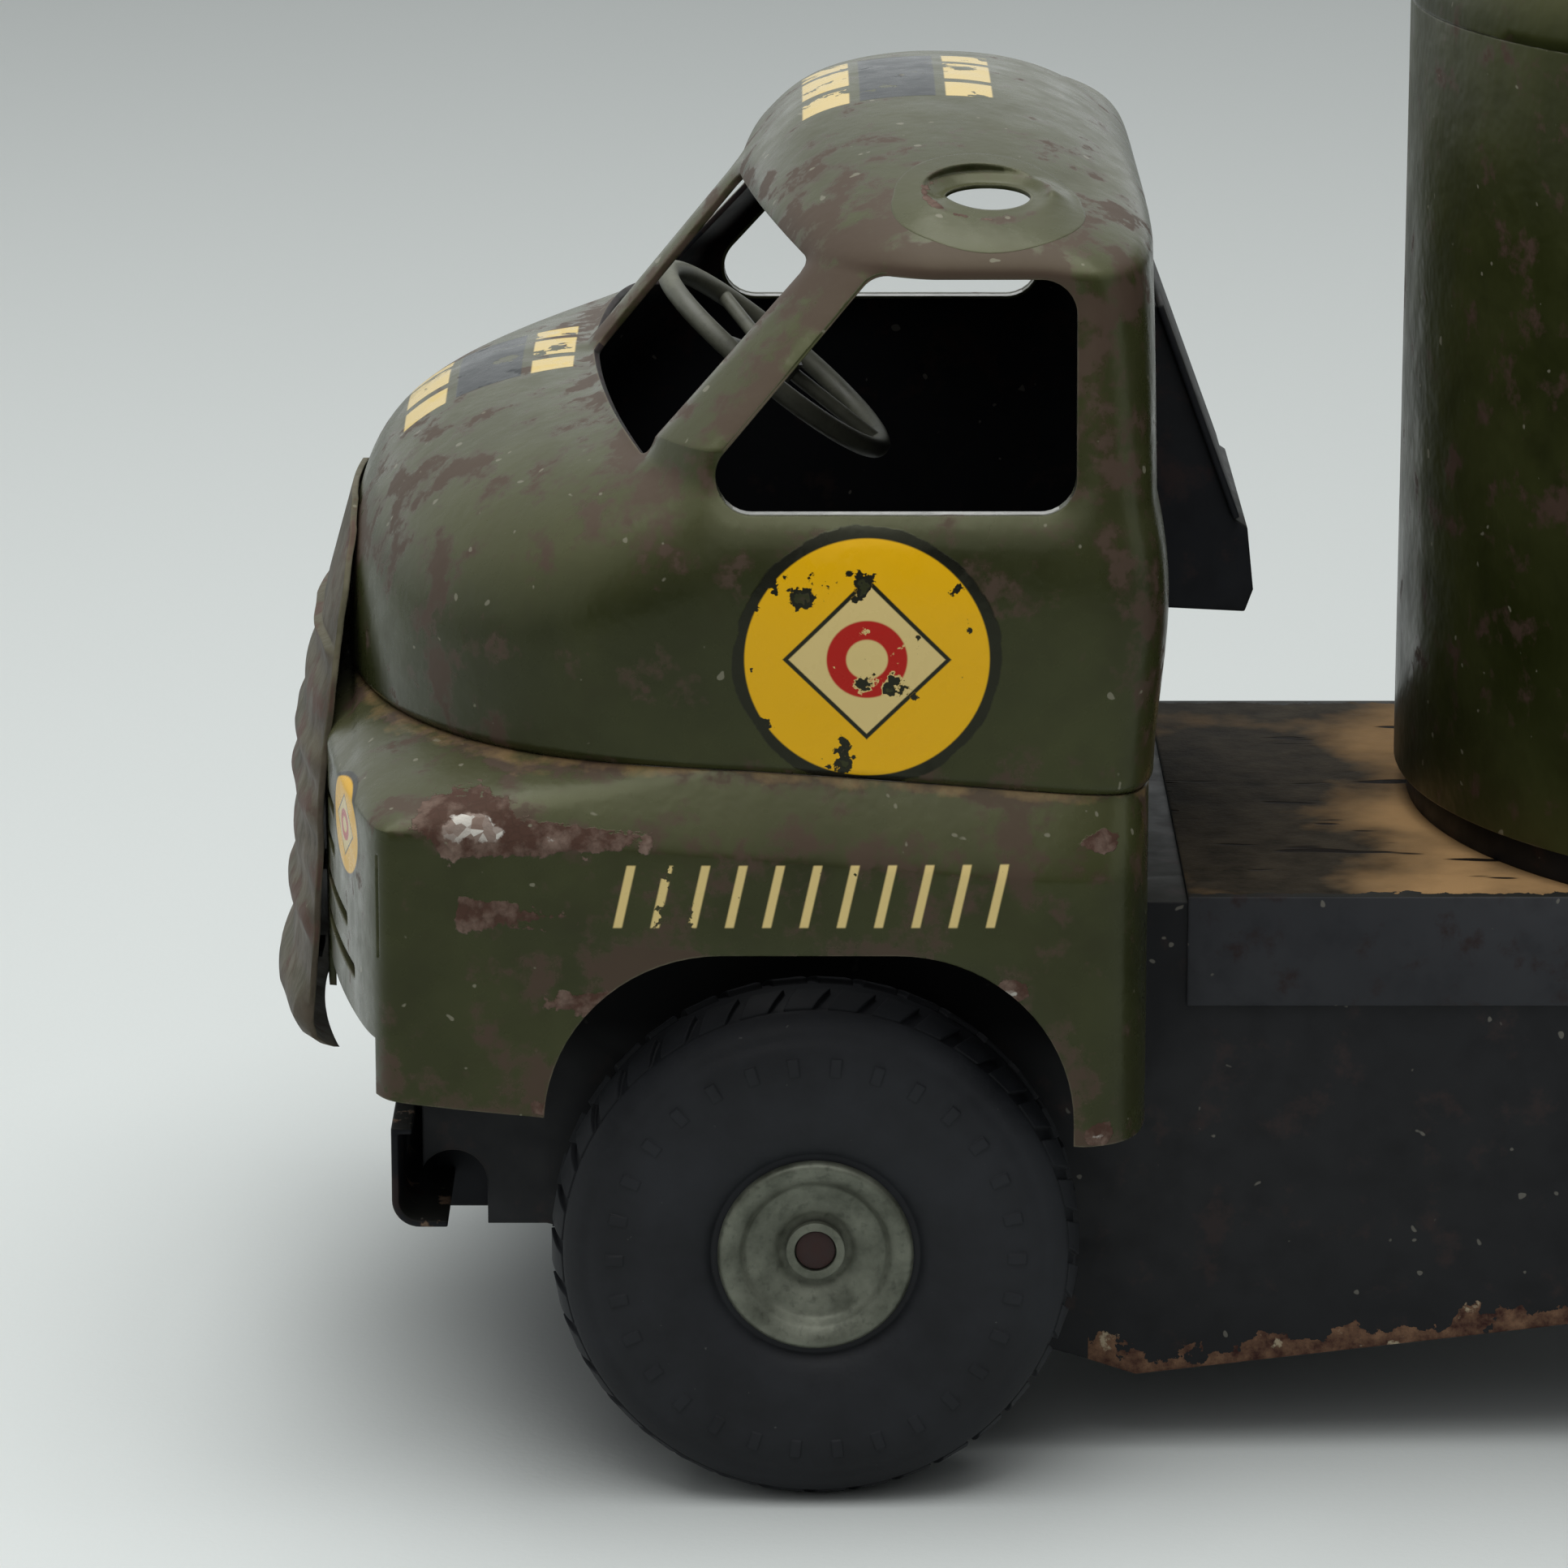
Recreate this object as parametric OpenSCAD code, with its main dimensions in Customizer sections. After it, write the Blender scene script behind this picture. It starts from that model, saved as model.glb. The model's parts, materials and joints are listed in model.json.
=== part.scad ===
// Tin toy tanker truck, in millimetres.
// The truck faces -X, its left side is -Y, and it stands on z = 0 with the origin under its middle.
// Every piece is drawn with x measured from the front axle, and set() shifts it into the frame.

/* [Overall] */
// Distance between the axles
wheelbase = 250; // [240:1:262]
// Thickness of the pressed tin
sheet = 1; // [0.8:0.1:1.2]

/* [Wheels] */
// Outside diameter of a tyre
tyre_d = 76; // [72:0.5:78]
// Width of a tyre
tyre_w = 22.4; // [20:0.2:22.6]
// Diameter of the pressed hub disc
hub_d = 28; // [24:0.5:30]
// Radius of the axle rods
axle_r = 2.38; // [2.2:0.02:2.4]
// Radial clearance between axle and hub tube
axle_gap = 0.07; // [0.03:0.01:0.1]

/* [Cab] */
// Half width of the cab at the window sill
cab_half = 82; // [80:0.5:83]
// How far the nose stands ahead of the front axle
nose_reach = 69.5; // [68:0.5:70]
// Height of the seam between cab and wings, above the front axle
seam_z = 109.5; // [108:0.5:111]
// Height of the window sill
sill_z = 146.5; // [145:0.5:148]
// Height of the bonnet's rear edge
scuttle_z = 155; // [153:0.5:156]
// Height of the roof's side edges
eaves_z = 179; // [178:0.5:181]
// Height of the roof's crown
roof_z = 195.6; // [194:0.2:198]
// Half width of the cab at the roof's side edges
roof_half = 77; // [75:0.5:78]
// Drop of the seam per unit of length
cab_slope = 0.078; // [0.06:0.002:0.09]

/* [Wings] */
// Half width over the wings
wing_half = 87; // [86:0.5:89]
// How far the apron stands ahead of the front axle
apron_reach = 73; // [72:0.5:74]
// Height of the top of the wheel arch
arch_top_z = 84.7; // [83:0.1:87]

/* [Chassis] */
// Half width over the chassis sides
chassis_half = 56; // [54:0.5:56]
// Height of the top of the bed
bed_z = 85; // [84:0.5:86]
// Height of the bed's side lips
lip_h = 16.4; // [12:0.2:20]

/* [Tank] */
// Radius of the tank's round ends
tank_r = 80; // [76:0.5:82]
// Foremost point of the tank, behind the front axle
tank_front = 88; // [87:0.5:92]
// Rearmost point of the tank, behind the front axle
tank_rear = 316; // [308:1:317]
// Height of the tank's lower edge
tank_base_z = 90; // [88.5:0.5:92]
// Height at which the tank's shoulder starts
tank_wall_z = 206; // [195:1:212]
// Radius of the tank's shoulder
shoulder_r = 17; // [12:0.5:20]

/* [Steering] */
// Radius of the steering wheel's rim, to the middle of its tube
rim_r = 21; // [17:0.5:22]
// Lean of the steering column from upright
column_lean = 39; // [36:1:42]

/* [Hidden] */

$fn = 64;
olive = "#4b4d39";
black = "#26272b";
zinc = "#8b8c85";
rubber = "#2b2c2e";
rust = "#6e4c3a";

// Ends of the truck, measured from the front axle
front_x = -82;
tail_x = 336;
frame_shift = -(front_x + tail_x) / 2;
// Length of a cut that goes right through, and the slack of a part in a hole that it is fixed into
through = 40;
loose = 0.05;

module set() { translate([frame_shift, 0, 0]) children(); }
module both_sides() {
  children();
  mirror([0, 1, 0]) children();
}

// A drawing in X and Z, extruded from y0 to y1
module along_y(y0, y1) { translate([0, y1, 0]) rotate([90, 0, 0]) linear_extrude(y1 - y0) children(); }
// A drawing in Y and Z, extruded from x0 to x1
module along_x(x0, x1) { translate([x0, 0, 0]) rotate([90, 0, 90]) linear_extrude(x1 - x0) children(); }
// A box between two corners
module box(low, high) { translate(low) cube(high - low); }
// A drawing with its corners rounded
module rounded(r) { offset(r, $fn = 24) offset(delta = -r) children(); }

// Closed skin through a stack of rings, which all have the same number of points.
// The ends of a round form are fans round a middle point, and those of a sheet are strips across it.
function middle(ring) = [for (r = ring) 1] * ring / len(ring);
function fan(n, i) = let (k = (i + 1) % n) [[i, k, n]];
function strip(n, i) = i < n / 2 - 1 ? [[i, i + 1, n - 2 - i], [i, n - 2 - i, n - 1 - i]] : [];
module loft(rings, of_sheet = false) {
  n = len(rings[0]);
  top = len(rings) - 1;
  floor_ring = of_sheet ? rings[0] : concat(rings[0], [middle(rings[0])]);
  top_ring = of_sheet ? rings[top] : concat(rings[top], [middle(rings[top])]);
  between = [for (j = [1 : 1 : top - 1]) each rings[j]];
  starts = [0, for (j = [1 : 1 : top]) len(floor_ring) + (j - 1) * n];
  sides = [
    for (j = [0 : top - 1], i = [0 : n - 1])
      let (k = (i + 1) % n, low = starts[j], high = starts[j + 1])
      each [[low + i, high + i, low + k], [low + k, high + i, high + k]]
  ];
  end = [for (i = [0 : n - 1]) each of_sheet ? strip(n, i) : fan(n, i)];
  top_end = [for (t = end) [starts[top] + t[2], starts[top] + t[1], starts[top] + t[0]]];
  polyhedron(concat(floor_ring, between, top_ring), concat(end, sides, top_end));
}

ring_points = 56;
function signed_pow(v, e) = sign(v) * pow(abs(v), e);
function bulge(v, n) = pow(max(0, 1 - pow(min(1, abs(v)), n)), 1 / n);
function screen_bulge(v) = pow(max(0, 1 - pow(min(1, abs(v)), screen_flat)), screen_turn);
// The smaller of two values, with a soft change between them over a width k
function soft_min(a, b, k) = let (h = max(k - abs(a - b), 0) / k) min(a, b) - h * h * k / 4;

// Cab form: a rounded nose, a curved windscreen that leans back, and a domed roof
nose_n = 3.4;
screen_n = 2.4;
screen_flat = 2.3;
screen_turn = 0.6;
rear_corner_n = 14;
eaves_corner_n = 6;
nose_mid = -15;
door_x = -10;
cab_rear = 48;
screen_x = -33.6;
screen_lean = 0.82;
scuttle_lean = 0.7;
belt_bulge = 1.8;
roof_mid = 17;
crown_n = 1.9;
header_n = 8;
roof_corner_n = 2.6;
scuttle_fillet = 4;
seam_level_x = 14;

function belt(z) = z < sill_z ? belt_bulge * sin(180 * pow(max(0, (z - seam_z) / (sill_z - seam_z)), 1.6)) : 0;
function lean_in(z) = max(0, (z - sill_z) / (eaves_z - sill_z)) * (cab_half - roof_half);
function screen_front(z) = screen_x + (z - scuttle_z) * (z < scuttle_z ? scuttle_lean : screen_lean);
function screen_mid(z) = door_x + max(0, (z - scuttle_z) / (eaves_z - scuttle_z)) * (roof_mid - door_x);
function slope_at(z) = cab_slope * max(0, (sill_z - z) / (sill_z - seam_z));
function corner_at(z) = rear_corner_n
  + max(0, (z - sill_z) / (eaves_z - sill_z)) * (eaves_corner_n - rear_corner_n);
// The seam runs level round the nose and falls from the door to the rear
function seam_run(x) = -soft_min(-x, seam_level_x, seam_level_x);
function bonnet_n(z) = 2.3 - 1.25 * pow(max(0, min(1, (z - seam_z) / (scuttle_z - seam_z))), 3);

// One ring of the cab below the eaves, with the skin moved in by inset
function body_ring(z, bonnet_front, inset) = [
  let (half = cab_half + belt(z) - lean_in(z) - inset)
  let (rear = cab_rear + belt(z) - inset)
  let (mid = screen_mid(z))
  let (screen_reach = mid - screen_front(z) - 1.3 * inset)
  let (bonnet_reach = max(0, door_x - bonnet_front))
  let (corner_n = corner_at(z))
  for (i = [0 : ring_points - 1])
    let (a = 360 * i / ring_points)
    let (ahead = cos(a) < 0)
    let (v = signed_pow(sin(a), 2 / (ahead ? screen_n : corner_n)))
    let (screen = mid - screen_reach * screen_bulge(v))
    let (bonnet = door_x - bonnet_reach * bulge(v, bonnet_n(z)))
    let (front = bonnet_reach > 0 ? soft_min(screen, bonnet, scuttle_fillet * bulge(v, 2)) : screen)
    let (x = ahead ? front : mid + (rear - mid) * pow(abs(cos(a)), 2 / corner_n))
    [x, half * v, z - slope_at(z) * seam_run(x)]
];

// One ring of the roof at angle a of its rise
function roof_ring(a, inset) = [
  let (rise = pow(sin(a), 2 / crown_n))
  let (reach = pow(cos(a), 2 / crown_n))
  let (z = eaves_z + (roof_z - eaves_z - inset) * rise)
  let (half = (roof_half - inset) * pow(1 - pow(rise, 1.6), 0.58))
  let (ahead_reach = (roof_mid - screen_front(z) - 1.3 * inset) * pow(1 - pow(rise, header_n), 0.5))
  let (rear_reach = (cab_rear - roof_mid - inset) * reach)
  let (corner_n = eaves_corner_n + (roof_corner_n - eaves_corner_n) * min(1, 2 * rise))
  for (i = [0 : ring_points - 1])
    let (t = 360 * i / ring_points)
    let (v = signed_pow(sin(t), 2 / (cos(t) < 0 ? screen_n : corner_n)))
    let (run = cos(t) < 0 ? -ahead_reach * screen_bulge(v) : rear_reach * pow(abs(cos(t)), 2 / corner_n))
    [roof_mid + run, half * v, z]
];

function nose_z(a, inset) = seam_z + (scuttle_z - seam_z - inset) * pow(sin(a), 2 / nose_n);
function nose_front(a, inset) = nose_mid - (nose_reach + nose_mid - inset) * pow(cos(a), 2 / nose_n);

nose_steps = [0, 10, 20, 30, 40, 50, 60, 70, 77, 82];
screen_steps = [0.08, 0.25, 0.42, 0.6, 0.8];
roof_steps = [0, 14, 28, 42, 56, 69, 80];

function cab_rings(inset) = concat(
  [for (a = nose_steps) body_ring(nose_z(a, inset), nose_front(a, inset), inset)],
  [for (t = screen_steps) body_ring(scuttle_z + t * (eaves_z - scuttle_z), door_x, inset)],
  [for (a = roof_steps) roof_ring(a, inset)]
);

function lowered(ring, drop) = [for (p = ring) [p.x, p.y, p.z - drop]];

// Openings of the cab
window_rear = 36;
window_top_front = 8;
window_low_front = -14;
window_kick = 7;
window_head = 0.3;
window_corner_r = 5;
pillar_half = 4;
screen_half = [66, 60.5];
screen_low = [0.2, 3.27];
screen_high = [34.4, 38.9];
screen_depth = [-4, 15];
screen_corner_r = 2;
hatch_x = 24;
hatch_y = -58;
hatch_z = 187.5;
hatch_tilt = 6.5;
hatch_outer_r = 10;
hatch_bore_r = 6;
hatch_lip = 1.2;
hatch_rise = 0.6;
rear_opening_half = 54;
rear_opening_low = 120;
rear_opening_high = 175;

module side_window() {
  top_z = eaves_z - window_head;
  along_y(-2 * cab_half, 2 * cab_half) rounded(window_corner_r) polygon([
    [window_low_front, sill_z], [window_rear, sill_z], [window_rear, top_z],
    [window_top_front, top_z], [window_low_front, sill_z + window_kick]
  ]);
}

module screen_opening() {
  translate([screen_x, 0, scuttle_z]) rotate([0, atan(screen_lean), 0])
    along_x(screen_depth[0], screen_depth[1]) rounded(screen_corner_r) polygon([
      [pillar_half, screen_low[0]], [screen_half[0], screen_low[1]],
      [screen_half[1], screen_high[1]], [pillar_half, screen_high[0]]
    ]);
}

module cab_form() {
  difference() {
    loft(cab_rings(0));
    loft(concat([lowered(cab_rings(sheet)[0], through)], cab_rings(sheet)));
    side_window();
    both_sides() screen_opening();
    along_x(back_x, back_x + through) translate([-rear_opening_half, rear_opening_low])
      square([2 * rear_opening_half, rear_opening_high - rear_opening_low]);
    hatch() cylinder(r = hatch_outer_r + loose, h = through, center = true);
  }
}
// The cab is joined across its pillars: body below, posts between, roof above
pillar_z = [158, 174];
module cab_between(low_z, high_z) {
  color(olive) set() intersection() {
    cab_form();
    box([-2 * cab_half, -2 * cab_half, low_z], [2 * cab_half, 2 * cab_half, high_z]);
  }
}
module cab_shell() { cab_between(0, pillar_z[0] - loose); }
module cab_pillars() { cab_between(pillar_z[0], pillar_z[1]); }
module cab_roof() { cab_between(pillar_z[1] + loose, 2 * roof_z); }

// Rim of the roof hole: tilted less than the roof, so one side is sunk and the other stands proud
roof_pitch = 15;
module hatch() { translate([hatch_x, hatch_y, hatch_z]) rotate([hatch_tilt, 0, 0]) children(); }
module hatch_ring() {
  skirt = 4;
  rim = 5;
  color(olive) set() hatch() difference() {
    union() {
      translate([0, 0, -skirt]) cylinder(r = hatch_outer_r, h = skirt);
      difference() {
        cylinder(r = hatch_outer_r, h = rim);
        translate([0, 0, hatch_rise]) rotate([roof_pitch - hatch_tilt, 0, 0])
          translate([-through / 2, -through / 2, 0]) cube(through);
      }
    }
    cylinder(r = hatch_bore_r, h = through, center = true);
    cylinder(r = hatch_outer_r - sheet, h = through);
    translate([0, 0, -hatch_lip - through]) cylinder(r = hatch_outer_r - sheet, h = through);
  }
}

// Black panel just inside the cab's rear opening
back_x = 45;
back_half = 59;
back_low = 117;
back_high = 176;
module cab_back() {
  color(black) set() along_x(back_x - sheet, back_x) translate([-back_half, back_low])
    square([2 * back_half, back_high - back_low]);
}

// Wedge-shaped locker on the back panel, with a slanted panel over its upper part
locker_half = 27;
locker_top = [49.4, 165.6];
locker_bend = [61, 134];
locker_step = [63.2, 132.6];
locker_toe = [64.2, 123.2];
locker_foot = [63, 119.9];
locker_low_z = 120.8;
locker_wall = 1.4;
lid_lap = 1.6;
lid_gap_x = 0.02;
module rear_locker() {
  outline = [
    [back_x, locker_low_z], locker_foot, locker_toe, locker_step, locker_bend, locker_top,
    [back_x, locker_top[1]]
  ];
  color(black) set() difference() {
    along_y(-locker_half, locker_half) polygon(outline);
    along_y(-locker_half + sheet, locker_half - sheet) polygon([
      [back_x - sheet, locker_low_z + sheet], locker_foot + [-locker_wall, sheet],
      locker_toe + [-locker_wall, 0], locker_step + [-locker_wall, 0], locker_bend + [-locker_wall, 0],
      locker_top + [-locker_wall, -sheet], [back_x - sheet, locker_top[1] - sheet]
    ]);
  }
}
module locker_lid() {
  slant = atan2(locker_bend[0] - locker_top[0], locker_top[1] - locker_bend[1]);
  long = norm(locker_bend - locker_top);
  color(black) set() translate([locker_top[0], 0, locker_top[1]]) rotate([0, -slant, 0])
    box([lid_gap_x, -locker_half - lid_lap, -long], [sheet + lid_gap_x, locker_half + lid_lap, 0]);
}

// Wings, apron and shoulder in one pressing that is open below
wing_corner_n = 28;
wing_rear = 47.3;
wing_low_z = 56.5;
wing_low_slope = 0.118;
wing_shoulder_z = 98;
wing_mid = -30;
apron_bow = 11.5;
seam_step = 0.8;
ledge = 3;
chassis_room = chassis_half + 4;
arch_x = [-38.3, 36.3];
arch_corner_r = 25;
louvre_z = [for (i = [0 : 3]) 77 + 6 * i];
louvre_high = 2.2;
louvre_y = [36, 72];

// Foremost x of the bowed apron, at a share v of the half width
function apron_x(v) = -apron_reach + apron_bow * pow(abs(v), 2.2);
seam_ring = body_ring(seam_z, nose_front(0, -seam_step), -seam_step);
ledge_ring = body_ring(seam_z, nose_front(0, ledge), ledge);

// One ring of the wings: blend 1 is the full outline and blend 0 is the cab's outline at the seam
function wing_ring(z, blend, inset) = [
  for (i = [0 : ring_points - 1])
    let (a = 360 * i / ring_points)
    let (v = signed_pow(sin(a), 2 / (cos(a) < 0 ? wing_corner_n : rear_corner_n)))
    let (ahead = wing_mid - (wing_mid - apron_x(v) - inset) * bulge(v, wing_corner_n))
    let (behind = wing_mid + (wing_rear - wing_mid - inset) * pow(abs(cos(a)), 2 / rear_corner_n))
    let (wing = [cos(a) < 0 ? ahead : behind, (wing_half - inset) * v])
    let (seam = [min(seam_ring[i].x, wing_rear - inset), seam_ring[i].y])
    let (p = seam + (wing - seam) * blend)
    let (run = seam_run(p.x) + (p.x - seam_run(p.x)) * blend)
    [p.x, p.y, z - cab_slope * run]
];
function shoulder_z(a, inset) = wing_shoulder_z + (seam_z - loose - wing_shoulder_z - inset) * sin(a);
// The lower edge is level behind the axle and rises ahead of it
function wing_low_ring(drop, inset) = [
  for (p = wing_ring(0, 1, inset)) [p.x, p.y, wing_low_z - wing_low_slope * min(0, p.x) - drop]
];
function wing_rings(drop, inset) = concat(
  [wing_low_ring(drop, inset)],
  [for (a = [0 : 15 : 90]) wing_ring(shoulder_z(a, inset), cos(a), inset)]
);

module wheel_arch() {
  mid = (arch_x[0] + arch_x[1]) / 2;
  span = arch_x[1] - arch_x[0];
  corner = span / 2 - arch_corner_r;
  along_y(-2 * wing_half, 2 * wing_half) union() {
    translate([arch_x[0], 0]) square([span, arch_top_z - arch_corner_r]);
    translate([mid - corner, 0]) square([2 * corner, arch_top_z]);
    for (s = [-1, 1]) translate([mid + s * corner, arch_top_z - arch_corner_r]) circle(arch_corner_r);
  }
}

module wing_unit() {
  color(olive) set() difference() {
    loft(wing_rings(0, 0));
    loft(wing_rings(through, sheet));
    loft([for (drop = [through, -through]) lowered(ledge_ring, drop)]);
    wheel_arch();
    box([wing_mid, -chassis_room, 0], [wing_mid + 3 * through, chassis_room, bed_z + loose]);
    both_sides() for (z = louvre_z)
      box([wing_mid - 2 * through, louvre_y[0], z], [wing_mid, louvre_y[1], z + louvre_high]);
  }
}

// Folded channel: two deep sides and a top, with a front plate above the bumper
wheel_r = tyre_d / 2;
chassis_front = -57;
chassis_rear = 329;
chassis_top_z = bed_z - sheet;
bumper_notch_x = -52.6;
bumper_notch_r = 5;
bumper_notch_z = 41.5;
front_plate_low = 47;
chassis_front_low = 35.3;
chassis_rear_low = 28;
// Lower edge of the sides, from behind the bumper to where it runs level
chassis_edge = [[-39, chassis_front_low], [38, 15], [47, 12], [110, 19.7], [190, chassis_rear_low]];
bolt_at = [for (x = [150, 254], y = [-30, 30]) [x, y]];
bolt_r = 1.5;
bolt_hole_r = 1.6;

module axle_holes(r) {
  for (x = [0, wheelbase]) translate([x, 0, wheel_r]) rotate([90, 0, 0])
    cylinder(r = r, h = 3 * chassis_half, center = true);
}
module bolt_holes() {
  for (p = bolt_at) translate([p.x, p.y, chassis_top_z]) cylinder(r = bolt_hole_r, h = through, center = true);
}

module chassis_side() {
  along_y(chassis_half - sheet, chassis_half) difference() {
    polygon(concat(
      [[chassis_front, chassis_top_z], [chassis_front, chassis_front_low]],
      chassis_edge,
      [[chassis_rear, chassis_rear_low], [chassis_rear, chassis_top_z]]
    ));
    translate([bumper_notch_x, bumper_notch_z]) circle(bumper_notch_r);
    translate([bumper_notch_x + bumper_notch_r - through, 0]) square([through, bumper_notch_z]);
  }
}

module chassis() {
  color(black) set() difference() {
    union() {
      both_sides() chassis_side();
      box([chassis_front, -chassis_half, chassis_top_z - sheet], [chassis_rear, chassis_half, chassis_top_z]);
      along_x(chassis_front, chassis_front + sheet) translate([-chassis_half, front_plate_low])
        square([2 * chassis_half, chassis_top_z - front_plate_low]);
    }
    axle_holes(axle_r + axle_gap);
    bolt_holes();
  }
}

// Tray over the chassis, with a lip on each side and at the tail
bed_front = 53.6;
bed_rear = 331;
module bed_tray() {
  low_z = bed_z - lip_h;
  outer = chassis_half + sheet;
  color(rust) set() difference() {
    box([bed_front, -outer, low_z], [bed_rear, outer, bed_z]);
    box([bed_front - through, -chassis_half, low_z - through], [bed_rear - sheet, chassis_half, bed_z - sheet]);
    bolt_holes();
  }
}

// Embossed plate that leans against the nose: its lean and its half width are read off by height
grille_thick = 0.9;
grille_lean = [
  [56, -75], [57, -77.2], [58.5, -78.8], [61, -79.4], [75, -77.4], [95, -76.5],
  [105, -75.4], [120, -71.9], [137, -67.2]
];
grille_halves = [[56, 36], [58, 39], [61, 40], [100, 40], [112, 37], [124, 30], [132, 23], [137, 16]];
grille_bow = 5;
grille_ribs_z = [72, 116];
grille_rib_pitch = 8;
grille_rib_deep = 1.3;
grille_bead_z = 62;
grille_bead_high = 6;
grille_columns = 6;
grille_rows_z = [56, 56.6, 57.2, 58, 59, 60.5, for (z = [62 : 2 : 136]) z, 137];
function grille_half(z) = lookup(z, grille_halves);
function grille_rib(z) = z > grille_ribs_z[0] && z < grille_ribs_z[1]
  ? grille_rib_deep * pow(sin(180 * (z - grille_ribs_z[0]) / grille_rib_pitch), 2)
  : 0;
function grille_bead(z) = (lookup(grille_bead_z, grille_lean) - grille_thick - front_x)
  * pow(max(0, cos(90 * min(1, abs(z - grille_bead_z) / grille_bead_high))), 1.5);
function grille_back_x(y, z) = lookup(z, grille_lean) + grille_bow * pow(y / grille_half(grille_bead_z), 2);
function grille_front_x(y, z) = grille_back_x(y, z) - grille_thick
  - (abs(y) < grille_half(z) - sheet / 2 ? grille_rib(z) + grille_bead(z) : 0);
function grille_ring(z) = [
  for (k = [-grille_columns : grille_columns])
    let (y = grille_half(z) * k / grille_columns) [grille_back_x(y, z), y, z],
  for (k = [grille_columns : -1 : -grille_columns])
    let (y = grille_half(z) * k / grille_columns) [grille_front_x(y, z), y, z]
];
module grille() { color(rust) set() loft([for (z = grille_rows_z) grille_ring(z)], of_sheet = true); }
module grille_tabs() {
  tab_y = [20, 28];
  tab_z = [68, 96];
  color(black) set() both_sides() for (z = tab_z)
    box([grille_back_x(tab_y[1], z), tab_y[0], z - sheet / 2], [-apron_reach, tab_y[1], z + sheet / 2]);
}

// Rolled strip low at the front: a flat face, a short top flange and a curled lower lip
bumper_front = -61;
bumper_half = 66;
bumper_z = [38, 53];
bumper_curl_r = 4;
bumper_lip = 4;
bumper_flange = 3;
bracket_y = [28, 40];
bracket_low = 48;
module bumper_section() {
  curl = [bumper_front + bumper_curl_r, bumper_z[0] + bumper_curl_r];
  difference() {
    union() {
      translate([bumper_front, curl.y]) square([sheet, bumper_z[1] - curl.y]);
      translate([bumper_front, bumper_z[1] - sheet]) square([bumper_flange, sheet]);
      intersection() {
        translate(curl) circle(bumper_curl_r);
        translate([bumper_front, bumper_z[0]]) square(bumper_curl_r);
      }
      translate([curl.x, bumper_z[0]]) square([bumper_lip, sheet]);
    }
    translate(curl) circle(bumper_curl_r - sheet);
  }
}
module front_bumper() { color(black) set() along_y(-bumper_half, bumper_half) bumper_section(); }
module bumper_brackets() {
  color(black) set() both_sides()
    box([bumper_front + sheet, bracket_y[0], bracket_low], [chassis_front, bracket_y[1], bumper_z[1] - sheet]);
}

// Steering: a rod in a foot on the floor, with the wheel on its upper end
steer_at = [-6, 35, 145];
column_r = 2.2;
column_long = 56;
spigot_r = 1.55;
spigot_z = [-5, 4];
steer_bore_r = 1.6;
steer_hub_r = 4;
steer_hub_half = 2;
steer_gap = 0.3;
rim_tube_r = 1.6;
spoke_r = 1.1;
cap_r = 3;
cap_h = 2.4;
module lean_column() { translate(steer_at) rotate([0, column_lean, 0]) children(); }

module steering_wheel() {
  color(zinc) set() lean_column() difference() {
    union() {
      rotate_extrude() translate([rim_r, 0]) circle(rim_tube_r);
      cylinder(r = steer_hub_r, h = 2 * steer_hub_half, center = true);
      for (a = [0, 120, 240]) rotate([0, 90, a]) cylinder(r = spoke_r, h = rim_r);
    }
    cylinder(r = steer_bore_r, h = through, center = true);
  }
}
module steering_column() {
  color(black) set() lean_column() union() {
    translate([0, 0, -column_long]) cylinder(r = column_r, h = column_long - steer_hub_half - steer_gap);
    translate([0, 0, spigot_z[0]]) cylinder(r = spigot_r, h = spigot_z[1] - spigot_z[0]);
  }
}
module steering_cap() {
  color(zinc) set() lean_column() difference() {
    translate([0, 0, steer_hub_half + steer_gap]) cylinder(r = cap_r, h = cap_h);
    cylinder(r = spigot_r, h = spigot_z[1]);
  }
}
module column_bracket() {
  socket_r = 4.2;
  socket_long = 12;
  foot = [[-10, 14], [-9, 9]];
  web = [[-2, 7], [-3, 3]];
  web_h = 16;
  foot_x = steer_at.x - column_long * sin(column_lean);
  base = [foot_x, steer_at.y, chassis_top_z];
  color(black) set() difference() {
    union() {
      box(base + [foot[0][0], foot[1][0], 0], base + [foot[0][1], foot[1][1], sheet]);
      box(base + [web[0][0], web[1][0], 0], base + [web[0][1], web[1][1], web_h]);
      lean_column() translate([0, 0, -column_long - sheet]) cylinder(r = socket_r, h = socket_long);
    }
    lean_column() translate([0, 0, -column_long]) cylinder(r = column_r, h = through);
  }
}

// Wheels: each has a solid tyre between two pressed discs on an eyelet that runs on the axle
wheel_y = 69.5;
tyre_bore_r = 12.2;
tyre_face = 8.2;
tube_r = 3.5;
tube_lip_r = 4.2;
tube_end = [-12, 7.3];
head_r = 2.8;
head_gap = 0.2;
head_z = [5.7, 6.8];
washer_r = 5;
washer_thick = 1.2;
disc_thick = 0.8;
lip_z = 6.1;
inner_step = 1;
tyre_n = 3.2;
tyre_bead = 1.6;

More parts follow.
